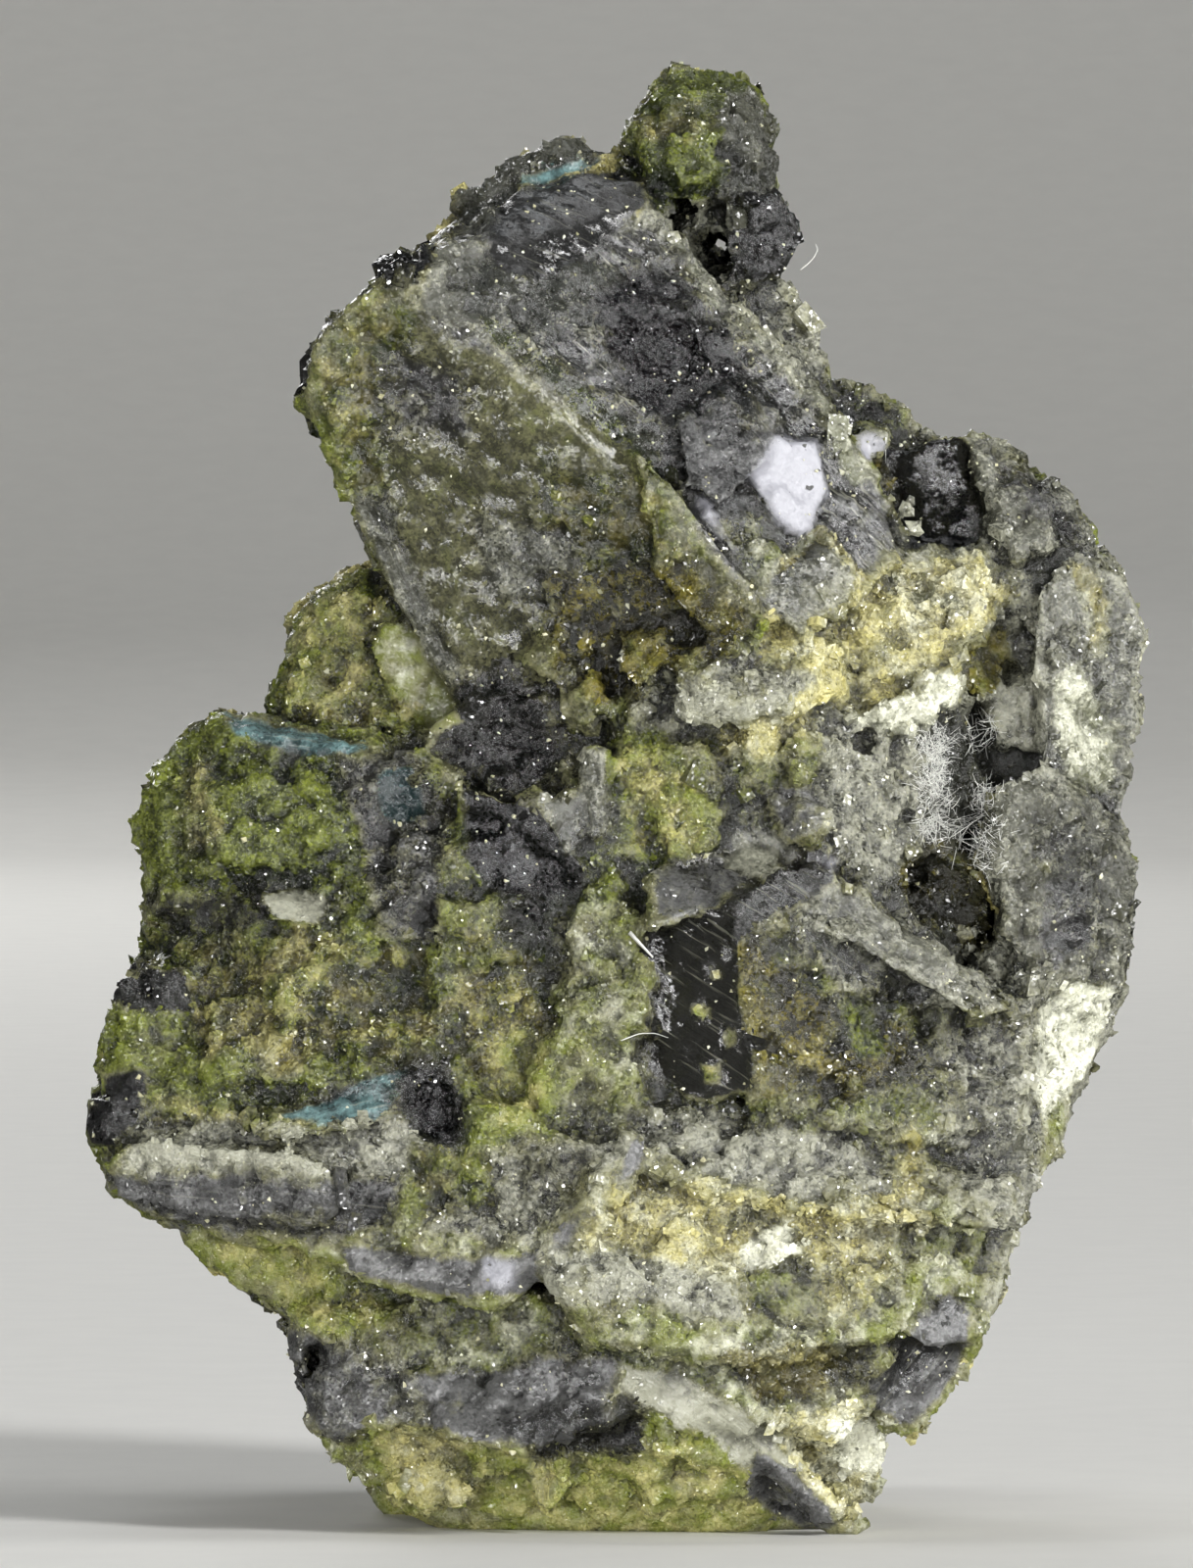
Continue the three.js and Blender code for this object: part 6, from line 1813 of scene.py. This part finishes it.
def rounded(path):
    """The path with more places, and its corners eased."""
    steps = len(path) - 1
    fine = np.linspace(0, steps, LINT_ROUNDING * steps + 1)
    path = np.stack([np.interp(fine, np.arange(steps + 1), path[:, i]) for i in range(3)], axis=1)
    path[1:-1] = (path[:-2] + 2 * path[1:-1] + path[2:]) / 4
    return path


class EPIDOTE_OT_lay_lint(bpy.types.Operator):
    """Lays the few lint threads on the near side, as they caught on it"""

    bl_idname = "epidote.lay_lint"
    bl_label = "Lint"

    def execute(self, context):
        ground = Ground()
        spots = on_grid(ground.places)
        facing = np.nonzero(ground.near > FACING)[0]

        def front(across, up):
            """The place on the surface that is seen at a spot."""
            close = facing[np.argsort(np.linalg.norm(spots[facing] - (across, up), axis=1))[:LINT_REST]]
            return np.array([across * GRID + GRID_MIDDLE, ground.places[close, 1].min(), up * GRID])

        paths = [
            (np.array([front(across, up) - (0, radius + lift, 0) for across, up, lift in line]), radius)
            for radius, line in LINT
        ]
        steps = [(across, -toward, up) for across, toward, up in HAIR_STEPS]
        paths.append((front(*HAIR_ROOT) + np.array(steps), HAIR_RADIUS))
        tubes = [(rounded(path), radius) for path, radius in paths]
        shown_tubes("lint_threads", tubes, fibre_material("Lint", 0.1))
        return {"FINISHED"}


# The view: a long lens a little above the middle of the cluster
LENS = 400
SENSOR = 36
VIEW_HEIGHT = 21.7
VIEW_TARGET = (-0.35, 0.0, 10.09)
VIEW_ELEVATION = 1.5

# The floor is round, and curves up into a wall all round it: radius and height of its rings, in metres
BOWL_FLOOR = 0.3
BOWL_CURVE = 0.22
BOWL = [(radius, 0.0) for radius in (0.02, 0.1, 0.2, 0.28)]
BOWL += [
    (BOWL_FLOOR + BOWL_CURVE * math.sin(turn), BOWL_CURVE * (1 - math.cos(turn)))
    for turn in np.linspace(0, math.pi / 2, 12)
]
BOWL.append((BOWL_FLOOR + BOWL_CURVE, 0.5))
BOWL_STEPS = 72

# The floor: how fine and strong its flecks are, and how much of a dark tone it takes where it is mirrored
FLOOR_IOR = 1.45
FLOOR_GRAIN = 900.0
FLOOR_FLECKED = 0.06
FLOOR_FLECK = (0.4, 0.4, 0.4)
# The dark tone is a painted darker reflection: only glossy rays see it
FLOOR_MIRRORED = 0.78
FLOOR_MIRROR = (0.02, 0.02, 0.025)

WORLD_COLOUR = (0.5, 0.54, 0.58)
WORLD_STRENGTH = 0.1

# The lights: name, way from the middle of the cluster, distance and size in metres, power in watts, and
# for some a colour and the place that they look at
WHITE = (1, 1, 1)
LIGHTS = (
    ("key", (0.668, -0.593, 0.452), 0.22, (0.04, 0.06), 0.375),
    ("right strip", (0.97, -0.05, 0.12), 0.2, (0.03, 0.1), 0.17),
    ("front fill", (-0.45, -1.0, 0.03), 0.3, (0.06, 0.03), 0.45),
    ("low fill", (0.3, -1.0, 0.0), 0.3, (0.06, 0.02), 0.32),
    ("top", (-0.1, 0.2, 1.0), 0.25, (0.08, 0.06), 0.03, (0.88, 0.95, 1.0)),
    ("back fill", (-0.3, 1.0, 0.35), 0.32, (0.12, 0.08), 0.21),
    ("backdrop", (0.0, 0.1, 1.0), 0.35, (0.3, 0.1), 0.3, WHITE, (0, 0.5, 0.02)),
)


def aimed(thing, target):
    way = Vector(target) - thing.location
    thing.rotation_euler = way.to_track_quat("-Z", "Y").to_euler()


def soft_light(name, way, distance, size, power, tone=WHITE, target=None):
    """A rectangular studio light that looks at the middle of the cluster, or at a given place."""
    lamp = bpy.data.lights.new(name, "AREA")
    lamp.shape = "RECTANGLE"
    lamp.size, lamp.size_y = size
    lamp.energy = power
    lamp.color = tone
    light = bpy.data.objects.new(name, lamp)
    bpy.context.scene.collection.objects.link(light)
    middle = Vector((0, 0, HEIGHT / 2 * MM))
    light.location = middle + Vector(way).normalized() * distance
    light.visible_camera = False
    aimed(light, target or middle)


def floor_material():
    """Pale and dull, and painted darker where the cluster mirrors it, for a darker reflection."""
    material, wire, shader = new_material("Pale floor", FLOOR_IOR)
    noise = wire.add("ShaderNodeTexNoise", {"Scale": FLOOR_GRAIN, "Detail": 3.0}).outputs[0]
    flecked = wire.ramp(noise, 0.2, 0.8, 0.0, FLOOR_FLECKED)
    tint = wire.blend(flecked, solid(bpy.context.scene.epidote_colours.floor), solid(FLOOR_FLECK))
    mirrored = wire.times(wire.add("ShaderNodeLightPath").outputs["Is Glossy Ray"], FLOOR_MIRRORED)
    wire.feed(wire.blend(mirrored, tint, solid(FLOOR_MIRROR)), shader.inputs["Base Color"])
    shader.inputs["Roughness"].default_value = 0.75
    return material


def pale_floor():
    """A round floor that curves up into a wall."""
    rings = []
    for radius, height in BOWL:
        for step in range(BOWL_STEPS):
            turn = 2 * math.pi * step / BOWL_STEPS
            rings.append((radius * math.cos(turn), radius * math.sin(turn), height))
    faces = [tuple(range(BOWL_STEPS))]
    for ring in range(len(BOWL) - 1):
        for step in range(BOWL_STEPS):
            a, b = ring * BOWL_STEPS + step, ring * BOWL_STEPS + (step + 1) % BOWL_STEPS
            faces.append((a, a + BOWL_STEPS, b + BOWL_STEPS, b))
    mesh = bpy.data.meshes.new("floor")
    mesh.from_pydata(rings, [], faces)
    mesh.shade_smooth()
    floor = bpy.data.objects.new("floor", mesh)
    bpy.context.scene.collection.objects.link(floor)
    mesh.materials.append(floor_material())
    return floor


def studio_world():
    world = bpy.data.worlds.new("studio")
    world.use_nodes = True
    backdrop = world.node_tree.nodes["Background"]
    backdrop.inputs["Color"].default_value = solid(WORLD_COLOUR)
    backdrop.inputs["Strength"].default_value = WORLD_STRENGTH
    return world


def long_camera():
    """A camera with a long lens, a little above the middle of the cluster."""
    view = bpy.data.cameras.new("camera")
    view.lens = LENS
    view.sensor_width = SENSOR
    view.clip_start = 0.01
    camera = bpy.data.objects.new("camera", view)
    bpy.context.scene.collection.objects.link(camera)
    distance = LENS / SENSOR * VIEW_HEIGHT * MM
    target = Vector(VIEW_TARGET) * MM
    tilt = math.radians(VIEW_ELEVATION)
    camera.location = target + Vector((0, -math.cos(tilt), math.sin(tilt))) * distance
    aimed(camera, target)
    return camera


class EPIDOTE_OT_set_stage(bpy.types.Operator):
    """Sets the pale floor, the soft studio lights and the camera"""

    bl_idname = "epidote.set_stage"
    bl_label = "Stage"

    def execute(self, context):
        floor = pale_floor()
        context.scene.world = studio_world()
        for light in LIGHTS:
            soft_light(*light)
        context.scene.camera = long_camera()
        context.scene.view_settings.view_transform = "Standard"
        return {"FINISHED"}


OPERATORS = (
    EPIDOTE_OT_set_stage,
    EPIDOTE_OT_grow_body,
    EPIDOTE_OT_grow_crust,
    EPIDOTE_OT_grow_crystals,
    EPIDOTE_OT_grow_fibres,
    EPIDOTE_OT_lay_lint,
)


class EPIDOTE_PT_panel(bpy.types.Panel):
    """Lists what the cluster is made of"""

    bl_idname = "EPIDOTE_PT_panel"
    bl_label = "Epidote cluster"
    bl_space_type = "VIEW_3D"
    bl_region_type = "UI"
    bl_category = "Epidote"

    def draw(self, context):
        for operator in OPERATORS:
            self.layout.operator(operator.bl_idname)


CLASSES = (ClusterColours, ClusterSizes, *OPERATORS, EPIDOTE_PT_panel)


def register():
    for kind in CLASSES:
        bpy.utils.register_class(kind)
    bpy.types.Scene.epidote_colours = PointerProperty(type=ClusterColours)
    bpy.types.Scene.epidote_sizes = PointerProperty(type=ClusterSizes)


def unregister():
    del bpy.types.Scene.epidote_sizes
    del bpy.types.Scene.epidote_colours
    for kind in reversed(CLASSES):
        bpy.utils.unregister_class(kind)


def main():
    register()
    bpy.ops.epidote.set_stage()
    bpy.ops.epidote.grow_body()
    bpy.ops.epidote.grow_crust()
    bpy.ops.epidote.grow_crystals()
    bpy.ops.epidote.grow_fibres()
    bpy.ops.epidote.lay_lint()


if __name__ == "__main__":
    main()
